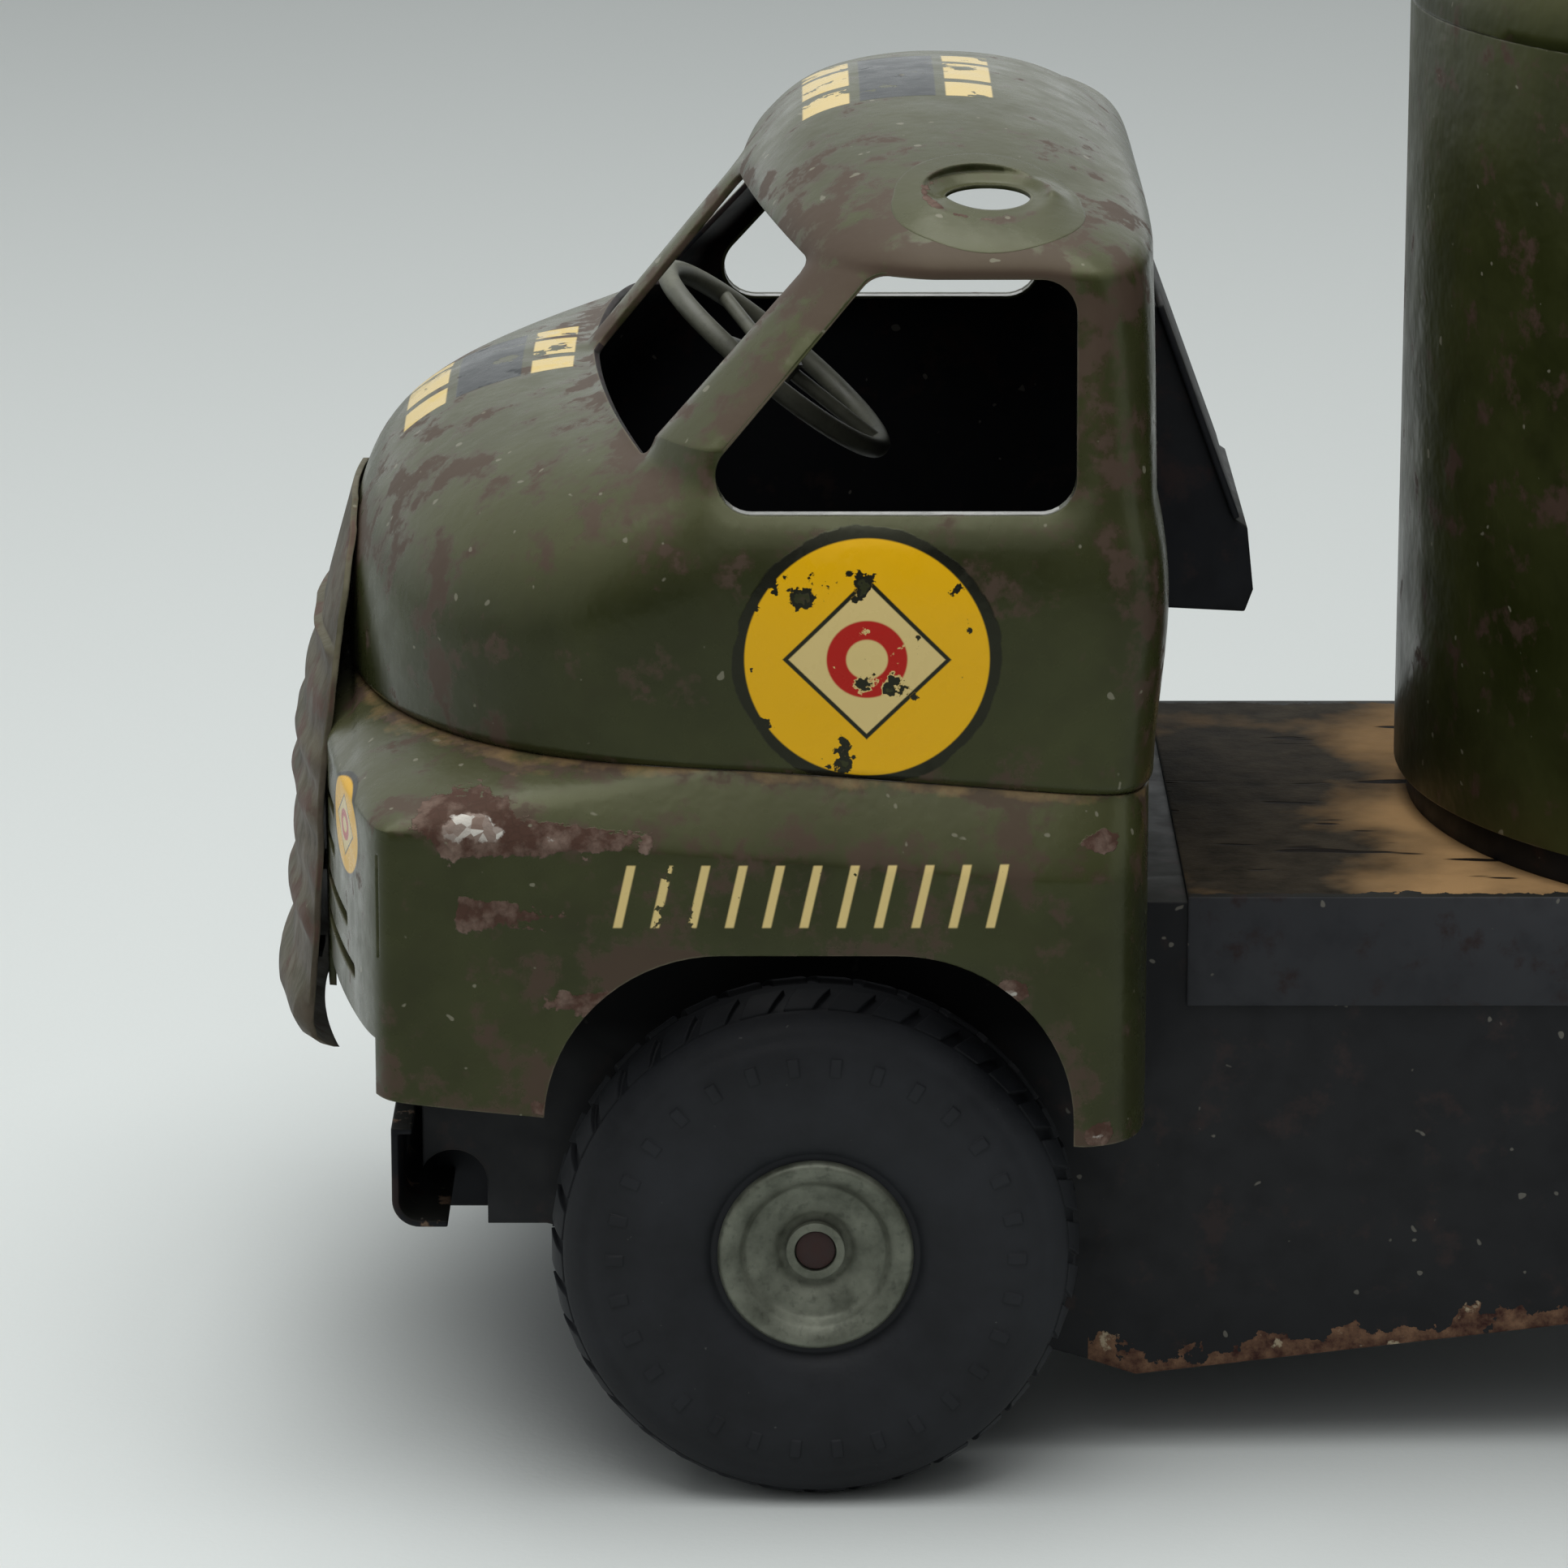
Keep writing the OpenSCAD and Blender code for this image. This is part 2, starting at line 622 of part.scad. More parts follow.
module wheel_at(x, side) {
  set() translate([x, side * wheel_y, wheel_r]) rotate([side < 0 ? 90 : -90, 0, 0]) children();
}
module tyre(x, side) {
  mid = (wheel_r + hub_d / 2 - tyre_bead) / 2;
  deep = wheel_r - mid;
  wall = [
    for (i = [0 : 3 : 357])
      [mid + deep * signed_pow(cos(i), 2 / tyre_n), tyre_w / 2 * signed_pow(sin(i), 2 / tyre_n)]
  ];
  color(rubber) wheel_at(x, side) rotate_extrude() union() {
    polygon(wall);
    translate([tyre_bore_r, -tyre_face]) square([mid - tyre_bore_r, 2 * tyre_face]);
  }
}
module hub_outer(x, side) {
  r = hub_d / 2;
  // The dished disc, from the eyelet out to the rolled rim, and its back from the rim in
  face = [[tube_r, 6], [9.8, 6], [10.6, 6.6], [11, 8.2], [11.5, 9.3], [12.4, 9.9], [r - 0.7, 9.9], [r, 9.2]];
  back = [[r, 8.3], [12.3, 8.3], [11.8, 8], [11.2, 6.2], [10.2, 5.2], [tube_r, 5.2]];
  color(zinc) wheel_at(x, side) rotate_extrude() polygon(concat(face, back));
}
module hub_inner(x, side) {
  color(zinc) wheel_at(x, side) rotate_extrude()
    translate([tube_r, -tyre_face - disc_thick]) square([hub_d / 2 - tube_r - inner_step, disc_thick]);
}
module hub_tube(x, side) {
  bore = axle_r + axle_gap;
  color(zinc) wheel_at(x, side) rotate_extrude() polygon([
    [bore, tube_end[0]], [tube_r, tube_end[0]], [tube_r, lip_z], [tube_lip_r, lip_z], [tube_lip_r, tube_end[1]],
    [head_r + head_gap, tube_end[1]], [head_r + head_gap, head_z[0] - head_gap], [bore, head_z[0] - head_gap]
  ]);
}
module axle(x) {
  head_y = [for (z = head_z) wheel_y + z];
  color(rust) set() translate([x, 0, wheel_r]) rotate([90, 0, 0]) rotate_extrude() union() {
    translate([0, -head_y[1]]) square([axle_r, 2 * head_y[1]]);
    for (y = [head_y[0], -head_y[1]]) translate([0, y]) square([head_r, head_y[1] - head_y[0]]);
  }
}
module front_axle() { axle(0); }
module rear_axle() { axle(wheelbase); }
module axle_washers() {
  color(zinc) set() both_sides() for (x = [0, wheelbase])
    translate([x, chassis_half, wheel_r]) rotate([-90, 0, 0]) difference() {
      cylinder(r = washer_r, h = washer_thick);
      cylinder(r = axle_r + axle_gap, h = through, center = true);
    }
}

// Tank: an upright wall with round ends, on a plinth, with a pressed top
tank_near = tank_front + tank_r;
tank_far = tank_rear - tank_r;
plinth_inset = 2;
skirt_h = 6;
module round_ended(r) {
  union() {
    translate([tank_near, 0]) circle(r);
    translate([tank_far, 0]) circle(r);
    translate([tank_near, -r]) square([tank_far - tank_near, 2 * r]);
  }
}
module round_ended_ring(r, wall) {
  difference() {
    round_ended(r);
    round_ended(r - wall);
  }
}
module tank_plinth() {
  color(black) set() translate([0, 0, bed_z]) linear_extrude(tank_base_z - bed_z)
    round_ended_ring(tank_r - plinth_inset, 2 * sheet);
}
module tank_floor() {
  color(olive) set() difference() {
    translate([0, 0, tank_base_z]) linear_extrude(sheet) round_ended(tank_r - sheet - loose);
    bolt_holes();
  }
}
module tank_wall() {
  color(olive) set() translate([0, 0, tank_base_z]) linear_extrude(tank_wall_z - tank_base_z)
    round_ended_ring(tank_r, sheet);
}
// Half section of the pressed top: shoulder, flat middle and the skirt that plugs into the wall
module top_section() {
  flat_r = tank_r - shoulder_r;
  difference() {
    union() {
      intersection() {
        translate([flat_r, tank_wall_z]) circle(shoulder_r);
        translate([flat_r, tank_wall_z]) square(shoulder_r);
      }
      translate([0, tank_wall_z + shoulder_r - sheet]) square([flat_r, sheet]);
      translate([tank_r - 2 * sheet, tank_wall_z - skirt_h]) square([sheet, skirt_h]);
    }
    translate([flat_r, tank_wall_z]) circle(shoulder_r - 2 * sheet);
    translate([flat_r, tank_wall_z - skirt_h]) square([shoulder_r - 2 * sheet, skirt_h]);
    translate([0, tank_wall_z]) square([flat_r, shoulder_r - sheet]);
  }
}
module tank_top() {
  color(olive) set() difference() {
    union() {
      translate([tank_near, 0, 0]) rotate([0, 0, 90]) rotate_extrude(angle = 180) top_section();
      translate([tank_far, 0, 0]) rotate([0, 0, -90]) rotate_extrude(angle = 180) top_section();
      both_sides() along_x(tank_near, tank_far) top_section();
    }
    translate([filler_x, 0, tank_wall_z]) cylinder(r = neck_r + loose, h = through);
  }
}
module tank_bolts() {
  head_r = 3.2;
  head_h = 2.4;
  nut_h = 2.2;
  low_z = chassis_top_z - sheet;
  nut_z = tank_base_z + sheet;
  color(zinc) set() for (p = bolt_at) translate([p.x, p.y, 0]) union() {
    translate([0, 0, low_z - head_h]) cylinder(r = head_r, h = head_h, $fn = 6);
    translate([0, 0, low_z]) cylinder(r = bolt_r, h = nut_z + nut_h + sheet - low_z);
    translate([0, 0, nut_z]) cylinder(r = head_r, h = nut_h, $fn = 6);
  }
}

// Filler: a neck with a flange on the tank's top, and a lid that hinges at its rear
filler_x = (tank_near + tank_far) / 2;
top_z = tank_wall_z + shoulder_r;
neck_r = 14;
neck_wall = 1.5;
neck_h = 9;
flange_r = 18.5;
flange_h = 1.2;
lid_r = 16.5;
lid_gap = 0.3;
lid_skirt = 4;
pin_r = 1;
pin_x = filler_x + 20;
pin_z = top_z + neck_h - 1;
knuckle_r = 2.2;
ear_y = [4, 6];
neck_plug = 3;
lid_thick = 1.4;
pin_gap = 0.06;
module hinge_pin(r, h) {
  translate([pin_x, 0, pin_z]) rotate([90, 0, 0]) cylinder(r = r, h = h, center = true);
}
module filler_neck() {
  color(olive) set() difference() {
    union() {
      translate([filler_x, 0, top_z - neck_plug]) cylinder(r = neck_r, h = neck_h + neck_plug);
      translate([filler_x, 0, top_z]) cylinder(r = flange_r, h = flange_h);
      both_sides() along_y(ear_y[0], ear_y[1]) union() {
        translate([pin_x - knuckle_r, top_z]) square([2 * knuckle_r, pin_z - top_z]);
        translate([pin_x, pin_z]) circle(knuckle_r);
        translate([filler_x + neck_r, top_z]) square([pin_x - filler_x - neck_r, flange_h]);
      }
    }
    translate([filler_x, 0, top_z]) cylinder(r = neck_r - neck_wall, h = through, center = true);
    hinge_pin(pin_r, through);
  }
}
module filler_lid() {
  rim_z = top_z + neck_h + lid_gap;
  color(olive) set() difference() {
    union() {
      translate([filler_x, 0, rim_z - lid_skirt]) cylinder(r = lid_r, h = lid_skirt + lid_thick);
      along_y(-ear_y[0] + lid_gap, ear_y[0] - lid_gap) union() {
        translate([pin_x, pin_z]) circle(knuckle_r);
        translate([filler_x, rim_z]) square([pin_x - filler_x, lid_thick]);
      }
    }
    translate([filler_x, 0, rim_z - through]) cylinder(r = lid_r - sheet, h = through);
    hinge_pin(pin_r + pin_gap, through);
  }
}
module lid_pin() {
  color(zinc) set() hinge_pin(pin_r, 2 * ear_y[1] + sheet);
}

// Tap at the tail: a flanged pipe, a barrel with a turning key, and a spigot for a hose
pipe_z = 97;
outlet_r = 4.2;
hose_r = 3.5;
hose_long = 8;
hose_collar_r = 4.6;
pipe_bore_r = 2.4;
barrel_x = tail_x - 13;
barrel_r = 5;
barrel_z = [88, 104];
barrel_floor = 2;
pipe_flange_r = 8;
pipe_flange_h = 1.4;
key_r = 2.6;
key_gap = 0.06;
key_lift = 0.3;
key_up = 1.3;
key_bar = 6;
key_bar_r = 2;
key_bore_r = 1.5;
module lying(x0, x1, r) { translate([x0, 0, pipe_z]) rotate([0, 90, 0]) cylinder(r = r, h = x1 - x0); }
module outlet_pipe() {
  color(zinc) set() difference() {
    union() {
      lying(tank_rear, tank_rear + pipe_flange_h, pipe_flange_r);
      lying(tank_rear, barrel_x, outlet_r);
    }
    lying(tank_rear - through, barrel_x + through, pipe_bore_r);
    translate([barrel_x, 0, barrel_z[0]]) cylinder(r = barrel_r, h = through);
  }
}
module tap_body() {
  color(zinc) set() difference() {
    union() {
      translate([barrel_x, 0, barrel_z[0]]) cylinder(r = barrel_r, h = barrel_z[1] - barrel_z[0]);
      lying(barrel_x, tail_x - hose_long, hose_collar_r);
      lying(barrel_x, tail_x, hose_r);
    }
    lying(barrel_x - through, tail_x + through, pipe_bore_r);
    translate([barrel_x, 0, barrel_z[0] + barrel_floor]) cylinder(r = key_r + key_gap, h = through);
  }
}
module tap_key() {
  low_z = barrel_z[0] + barrel_floor + key_lift;
  bar_z = barrel_z[1] + key_up + key_bar_r;
  color(zinc) set() translate([barrel_x, 0, 0]) difference() {
    union() {
      translate([0, 0, low_z]) cylinder(r = key_r, h = bar_z - low_z);
      translate([0, 0, bar_z]) rotate([90, 0, 0]) cylinder(r = key_bar_r, h = 2 * key_bar, center = true);
    }
    translate([0, 0, pipe_z]) rotate([90, 0, 0]) cylinder(r = key_bore_r, h = through, center = true);
  }
}

chassis();
bed_tray();
wing_unit();
cab_shell();
cab_pillars();
cab_roof();
hatch_ring();
cab_back();
rear_locker();
locker_lid();
grille();
grille_tabs();
front_bumper();
bumper_brackets();
column_bracket();
steering_column();
steering_wheel();
steering_cap();
front_axle();
rear_axle();
axle_washers();
tyre(0, -1);  // tyre_front_left
tyre(0, 1);  // tyre_front_right
tyre(wheelbase, -1);  // tyre_rear_left
tyre(wheelbase, 1);  // tyre_rear_right
hub_outer(0, -1);  // hub_outer_front_left
hub_outer(0, 1);  // hub_outer_front_right
hub_outer(wheelbase, -1);  // hub_outer_rear_left
hub_outer(wheelbase, 1);  // hub_outer_rear_right
hub_inner(0, -1);  // hub_inner_front_left
hub_inner(0, 1);  // hub_inner_front_right
hub_inner(wheelbase, -1);  // hub_inner_rear_left
hub_inner(wheelbase, 1);  // hub_inner_rear_right
hub_tube(0, -1);  // hub_tube_front_left
hub_tube(0, 1);  // hub_tube_front_right
hub_tube(wheelbase, -1);  // hub_tube_rear_left
hub_tube(wheelbase, 1);  // hub_tube_rear_right
tank_plinth();
tank_floor();
tank_wall();
tank_top();
tank_bolts();
filler_neck();
filler_lid();
lid_pin();
outlet_pipe();
tap_body();
tap_key();
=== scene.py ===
import json
import math

import bmesh
import bpy
import numpy as np
from mathutils import Matrix, Vector
from mathutils.bvhtree import BVHTree

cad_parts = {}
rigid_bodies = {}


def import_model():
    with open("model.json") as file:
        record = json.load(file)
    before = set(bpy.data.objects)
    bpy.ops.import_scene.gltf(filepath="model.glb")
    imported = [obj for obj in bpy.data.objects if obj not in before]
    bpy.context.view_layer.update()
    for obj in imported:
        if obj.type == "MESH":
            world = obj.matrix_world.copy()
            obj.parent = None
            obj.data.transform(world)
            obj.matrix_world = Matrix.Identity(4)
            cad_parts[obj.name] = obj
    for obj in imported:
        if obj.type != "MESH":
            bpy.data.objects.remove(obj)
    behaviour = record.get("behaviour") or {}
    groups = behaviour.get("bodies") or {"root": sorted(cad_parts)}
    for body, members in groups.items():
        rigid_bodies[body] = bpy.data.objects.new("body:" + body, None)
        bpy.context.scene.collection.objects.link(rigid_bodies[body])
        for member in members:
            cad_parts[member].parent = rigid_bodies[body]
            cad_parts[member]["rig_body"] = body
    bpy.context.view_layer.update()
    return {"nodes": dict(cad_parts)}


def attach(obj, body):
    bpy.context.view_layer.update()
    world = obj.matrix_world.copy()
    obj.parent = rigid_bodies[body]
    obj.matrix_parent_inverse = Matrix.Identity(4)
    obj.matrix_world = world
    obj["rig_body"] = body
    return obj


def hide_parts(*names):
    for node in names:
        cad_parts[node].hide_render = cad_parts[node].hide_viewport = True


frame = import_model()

# Sizes are in millimetres, with x measured from the front axle; metres() puts them in the frame
axleX = -127.0
bpy.context.scene.view_settings.view_transform = "Standard"


def metres(points):
    return (np.array(points, float) + (axleX, 0, 0)) * 0.001


def millimetres(mesh):
    flat = np.zeros(len(mesh.vertices) * 3)
    mesh.vertices.foreach_get("co", flat)
    return flat.reshape(-1, 3) * 1000 - (axleX, 0, 0)


def toLinear(hexColour):
    values = [int(hexColour[i:i + 2], 16) / 255 for i in (1, 3, 5)]
    return tuple(v / 12.92 if v <= 0.04045 else ((v + 0.055) / 1.055) ** 2.4 for v in values) + (1.0,)


# Sets or links a node's inputs, by identifier or by name without spaces
def plug(tree, node, **inputs):
    for name, value in inputs.items():
        socket = next(s for s in node.inputs if name in (s.identifier, s.name.replace(" ", "")))
        if isinstance(value, bpy.types.NodeSocket):
            tree.links.new(value, socket)
        else:
            socket.default_value = value


# Adds a node with its settings and links, and gives back one of its outputs
def addNode(tree, kind, settings=None, out=0, **inputs):
    node = tree.nodes.new(kind)
    for name, value in (settings or {}).items():
        setattr(node, name, value)
    plug(tree, node, **inputs)
    return node.outputs[out]


def newMaterial(name):
    material = bpy.data.materials.new(name)
    material.use_nodes = True
    tree = material.node_tree
    tree.nodes.clear()
    shader = tree.nodes.new("ShaderNodeBsdfPrincipled")
    output = tree.nodes.new("ShaderNodeOutputMaterial")
    tree.links.new(shader.outputs[0], output.inputs[0])
    return material, tree, shader


# Settings that many nodes share
colourMix = {"data_type": "RGBA"}
times = {"operation": "MULTIPLY"}
timesPlus = {"operation": "MULTIPLY_ADD"}
plus = {"operation": "ADD"}
minus = {"operation": "SUBTRACT"}
larger = {"operation": "MAXIMUM"}
below = {"operation": "LESS_THAN"}
beyond = {"operation": "GREATER_THAN"}
absolute = {"operation": "ABSOLUTE"}
cellEdges = {"feature": "DISTANCE_TO_EDGE"}


# Flaked chips where the piece is marked: hard edged, a cracked brown undercoat round a core of bare tin
def flakedChips(tree, look, place):
    grain = addNode(tree, "ShaderNodeTexNoise", Vector=place,
                    Scale=1000 / look["chipMm"], Detail=5.0, Roughness=0.62)
    mark = addNode(tree, "ShaderNodeAttribute", {"attribute_name": "chip"}, "Fac")
    deep = addNode(tree, "ShaderNodeMath", timesPlus, Value=grain, Value_001=1.1, Value_002=mark)
    mask = addNode(tree, "ShaderNodeMapRange", Value=deep, FromMin=1.02, FromMax=1.06)
    bare = addNode(tree, "ShaderNodeMapRange", Value=deep, FromMin=1.5, FromMax=1.58)
    shade = addNode(tree, "ShaderNodeMapRange", Value=grain, FromMin=0.46, FromMax=0.72)
    colour = addNode(tree, "ShaderNodeMix", colourMix, 2, Factor_Float=shade,
                     A_Color=toLinear(look["primer"]), B_Color=toLinear(look["flake"]))
    cells = addNode(tree, "ShaderNodeTexVoronoi", cellEdges, Vector=place, Scale=1000 / look["crackMm"])
    crack = addNode(tree, "ShaderNodeMapRange", Value=cells, FromMin=0.0, FromMax=0.1, ToMin=0.82)
    colour = addNode(tree, "ShaderNodeMix", colourMix, 2, Factor_Float=crack,
                     A_Color=toLinear(look["crack"]), B_Color=colour)
    # bare tin in facets of light and dark
    facet = addNode(tree, "ShaderNodeTexVoronoi", out="Color", Vector=place, Scale=1000 / look["facetMm"])
    facet = addNode(tree, "ShaderNodeSeparateXYZ", out="X", Vector=facet)
    tin = addNode(tree, "ShaderNodeMix", colourMix, 2, Factor_Float=facet,
                  A_Color=toLinear(look["flake"]), B_Color=toLinear(look["bare"]))
    colour = addNode(tree, "ShaderNodeMix", colourMix, 2, Factor_Float=bare, A_Color=colour, B_Color=tin)
    return {"mask": mask, "bare": bare, "grain": grain, "colour": colour}


# Paint thinned in patches along every sharp edge, where the rounded normal leaves the face's own
def thinnedEdges(tree, look, facing, rounded, grain):
    turned = addNode(tree, "ShaderNodeVectorMath", {"operation": "DOT_PRODUCT"}, "Value",
                     Vector=rounded, Vector_001=facing)
    edge = addNode(tree, "ShaderNodeMapRange", Value=turned, FromMin=0.985, FromMax=0.86)
    patchy = addNode(tree, "ShaderNodeMapRange", Value=grain, FromMin=0.4, FromMax=0.6)
    edge = addNode(tree, "ShaderNodeMath", times, Value=edge, Value_001=patchy)
    return addNode(tree, "ShaderNodeMath", times, Value=edge, Value_001=look["edgeMost"])


# Height in millimetres: pulled orange peel, shallow dents and the step down into a rough chip
def paintHeight(tree, look, place, patches, chips):
    peel = addNode(tree, "ShaderNodeTexNoise", Vector=place, Scale=1000 / look["peelMm"], Detail=1.0)
    height = addNode(tree, "ShaderNodeMath", times, Value=peel, Value_001=look["peel"])
    height = addNode(tree, "ShaderNodeMath", timesPlus, Value=patches,
                     Value_001=look["dent"], Value_002=height)
    height = addNode(tree, "ShaderNodeMath", timesPlus, Value=chips["mask"],
                     Value_001=-look["chipDeep"], Value_002=height)
    rugged = addNode(tree, "ShaderNodeMath", times, Value=chips["grain"], Value_001=chips["mask"])
    return addNode(tree, "ShaderNodeMath", timesPlus, Value=rugged,
                   Value_001=look["chipRough"], Value_002=height)


# The coats of a painted tin surface: colour, roughness, metal and height, worn by the piece's own marks
def paintCoats(tree, look):
    place = addNode(tree, "ShaderNodeTexCoord", out="Object")
    facing = addNode(tree, "ShaderNodeNewGeometry", out="Normal")
    rounded = addNode(tree, "ShaderNodeBevel", {"samples": 6}, Radius=look["edgeMm"] * 0.001)
    patches = addNode(tree, "ShaderNodeTexNoise", Vector=place,
                      Scale=1000 / look["patchMm"], Detail=5.0, Roughness=0.6)
    mottle = addNode(tree, "ShaderNodeTexNoise", Vector=place,
                     Scale=1000 / look["mottleMm"], Detail=4.0, Roughness=0.6)
    shade = addNode(tree, "ShaderNodeMapRange", Value=patches, FromMin=0.34, FromMax=0.66)
    colour = addNode(tree, "ShaderNodeMix", colourMix, 2, Factor_Float=shade,
                     A_Color=toLinear(look["deep"]), B_Color=toLinear(look["light"]))
    stain = addNode(tree, "ShaderNodeMapRange", Value=mottle, FromMin=0.48, FromMax=0.78, ToMax=look["stain"])
    # a lighter coat on what faces up: partly dust, partly a painted sheen of the light from above
    up = addNode(tree, "ShaderNodeSeparateXYZ", out="Z", Vector=facing)
    dust = addNode(tree, "ShaderNodeMapRange", Value=up, FromMin=0.1, FromMax=0.55, ToMax=look["dust"])
    # rubbed where the piece is marked as worn: soft edged, down to the brown undercoat
    rubGrain = addNode(tree, "ShaderNodeTexNoise", Vector=place,
                       Scale=1000 / look["rubMm"], Detail=6.0, Roughness=0.65)
    rubMark = addNode(tree, "ShaderNodeAttribute", {"attribute_name": "wear"}, "Fac")
    rub = addNode(tree, "ShaderNodeMath", timesPlus, Value=rubGrain, Value_001=2.4, Value_002=rubMark)
    rub = addNode(tree, "ShaderNodeMapRange", Value=rub, FromMin=1.45, FromMax=1.68, ToMax=look["rubMost"])
    chips = flakedChips(tree, look, place)
    # pin-head chips all over
    speckGrain = addNode(tree, "ShaderNodeTexNoise", Vector=place, Scale=1000 / look["speckMm"], Detail=1.0)
    speck = addNode(tree, "ShaderNodeMapRange", Value=speckGrain, FromMin=0.755, FromMax=0.775, ToMax=0.75)
    edge = thinnedEdges(tree, look, facing, rounded, rubGrain)
    # each coat covers those before it
    for mask, coat in ((stain, toLinear(look["grime"])), (dust, toLinear(look["bloom"])),
                       (rub, toLinear(look["rub"])), (chips["mask"], chips["colour"]),
                       (speck, toLinear(look["speck"])), (edge, toLinear(look["edge"]))):
        colour = addNode(tree, "ShaderNodeMix", colourMix, 2, Factor_Float=mask, A_Color=colour, B_Color=coat)
    sheen = addNode(tree, "ShaderNodeMapRange", Value=mottle, FromMin=0.3, FromMax=0.7,
                    ToMin=look["gloss"][0], ToMax=look["gloss"][1])
    dullRub = addNode(tree, "ShaderNodeMath", times, Value=rub, Value_001=0.62)
    dullChip = addNode(tree, "ShaderNodeMath", times, Value=chips["mask"], Value_001=0.72)
    dull = addNode(tree, "ShaderNodeMath", larger, Value=dullRub, Value_001=dullChip)
    roughness = addNode(tree, "ShaderNodeMath", larger, Value=sheen, Value_001=dull)
    metal = addNode(tree, "ShaderNodeMath", times, Value=chips["bare"], Value_001=chips["mask"])
    metal = addNode(tree, "ShaderNodeMath", times, Value=metal, Value_001=0.85)
    height = paintHeight(tree, look, place, patches, chips)
    return {"place": place, "colour": colour, "roughness": roughness, "metal": metal, "height": height,
            "normal": rounded}


def wornEnamel(name, look):
    material, tree, shader = newMaterial(name)
    coats = paintCoats(tree, look)
    bumped = addNode(tree, "ShaderNodeBump", Distance=0.001, Height=coats["height"], Normal=coats["normal"])
    plug(tree, shader, BaseColor=coats["colour"], Roughness=coats["roughness"], Metallic=coats["metal"],
         Normal=bumped)
    shader.inputs["IOR"].default_value = look["ior"]
    shader.inputs["Specular Tint"].default_value = toLinear(look["tint"])
    return material


# Stoving enamel on tin: semi-gloss drab olive, lighter where it faces up with dust and a painted sheen,
# rubbed to brown on the high places
oliveLook = {
    "deep": "#282b16", "light": "#393c22", "grime": "#2a281a", "bloom": "#6c6b50", "rub": "#493832",
    "primer": "#472f29", "flake": "#7d6a60", "crack": "#1c1311", "bare": "#c4c1ba", "speck": "#7d7a6a",
    "edge": "#7a7763", "tint": "#d9dcbc", "ior": 1.42, "gloss": (0.2, 0.36),
    # size of each pattern
    "patchMm": 34, "mottleMm": 6.5, "rubMm": 8, "chipMm": 4.2, "crackMm": 2.2, "facetMm": 1.3,
    "speckMm": 2.4, "edgeMm": 0.55, "peelMm": 1.3,
    # how strongly each shows, and heights in millimetres
    "stain": 0.4, "dust": 0.3, "rubMost": 0.85, "edgeMost": 0.6,
    "peel": 0.012, "dent": 0.6, "chipDeep": 0.12, "chipRough": 0.35,
}
# Dipped black enamel: flat blue-black with grey scuffs
blackLook = dict(
    oliveLook, deep="#121316", light="#1a1b1e", grime="#0f0f11", rub="#2b2120", primer="#4a3226",
    flake="#7d6a58", speck="#6d6a62", edge="#55524d", tint="#c0c2c6", ior=1.33, gloss=(0.46, 0.6),
    patchMm=45, mottleMm=5, stain=0.5, dust=0.06, edgeMost=0.4, dent=0.35)
# The tank's enamel is darker and flatter than the cab's, with deeper dents and paler edges
tankLook = dict(
    oliveLook, deep="#23270f", light="#3b3e22", grime="#1c1e0d", edge="#8d8c80", ior=1.27, gloss=(0.28, 0.42),
    patchMm=40, mottleMm=11, stain=0.6, edgeMost=0.8, dent=1.3)
oliveEnamel = wornEnamel("olive_stoving_enamel", oliveLook)

# Water-slide transfers on the enamel: flat inks, a hair thick, flaked so that the olive shows through
transfers = {
    "yellow": "#e9b20c", "cream": "#dcc484", "red": "#b4060c", "black": "#141410", "slate": "#2b2e33",
    "tan": "#8d7550", "flakeMm": 7, "flakeSoft": 0.006, "edgeMm": 0.12, "thickMm": 0.03,
}
under, over = 1, -1  # the two sides of a limit


def newSheet(name):
    material, tree, shader = newMaterial(name)
    coats = paintCoats(tree, oliveLook)
    split = tree.nodes.new("ShaderNodeSeparateXYZ")
    plug(tree, split, Vector=coats["place"])
    flake = addNode(tree, "ShaderNodeTexNoise", Vector=coats["place"],
                    Scale=1000 / transfers["flakeMm"], Detail=5.0, Roughness=0.6)
    return {"material": material, "tree": tree, "shader": shader, "coats": coats, "split": split,
            "flake": flake, "colour": coats["colour"], "inked": None}


# Millimetres along an axis from a middle, with the two sides alike where mirrored
def runFrom(sheet, axis, middle, mirrored=False):
    tree = sheet["tree"]
    run = addNode(tree, "ShaderNodeMath", times, Value=sheet["split"].outputs[axis], Value_001=1000.0)
    if mirrored:
        run = addNode(tree, "ShaderNodeMath", absolute, Value=run)
    shift = middle + (axleX if axis == "X" else 0)
    return addNode(tree, "ShaderNodeMath", minus, Value=run, Value_001=shift)


def layMask(sheet, ink, mask):
    tree, inked = sheet["tree"], sheet["inked"]
    sheet["colour"] = addNode(tree, "ShaderNodeMix", colourMix, 2, Factor_Float=mask,
                              A_Color=sheet["colour"], B_Color=toLinear(transfers[ink]))
    if inked is not None:
        mask = addNode(tree, "ShaderNodeMath", larger, Value=inked, Value_001=mask)
    sheet["inked"] = mask


# Lays an ink where every measure is on its side of its limit, and the flaking noise is under keep
def layInk(sheet, ink, keep, *limits):
    tree, edge, flakeSoft = sheet["tree"], transfers["edgeMm"], transfers["flakeSoft"]
    mask = addNode(tree, "ShaderNodeMapRange", Value=sheet["flake"],
                   FromMin=keep + flakeSoft, FromMax=keep - flakeSoft)
    for measure, limit, side in limits:
        inside = addNode(tree, "ShaderNodeMapRange", Value=measure,
                         FromMin=limit + side * edge, FromMax=limit - side * edge)
        mask = addNode(tree, "ShaderNodeMath", times, Value=mask, Value_001=inside)
    layMask(sheet, ink, mask)


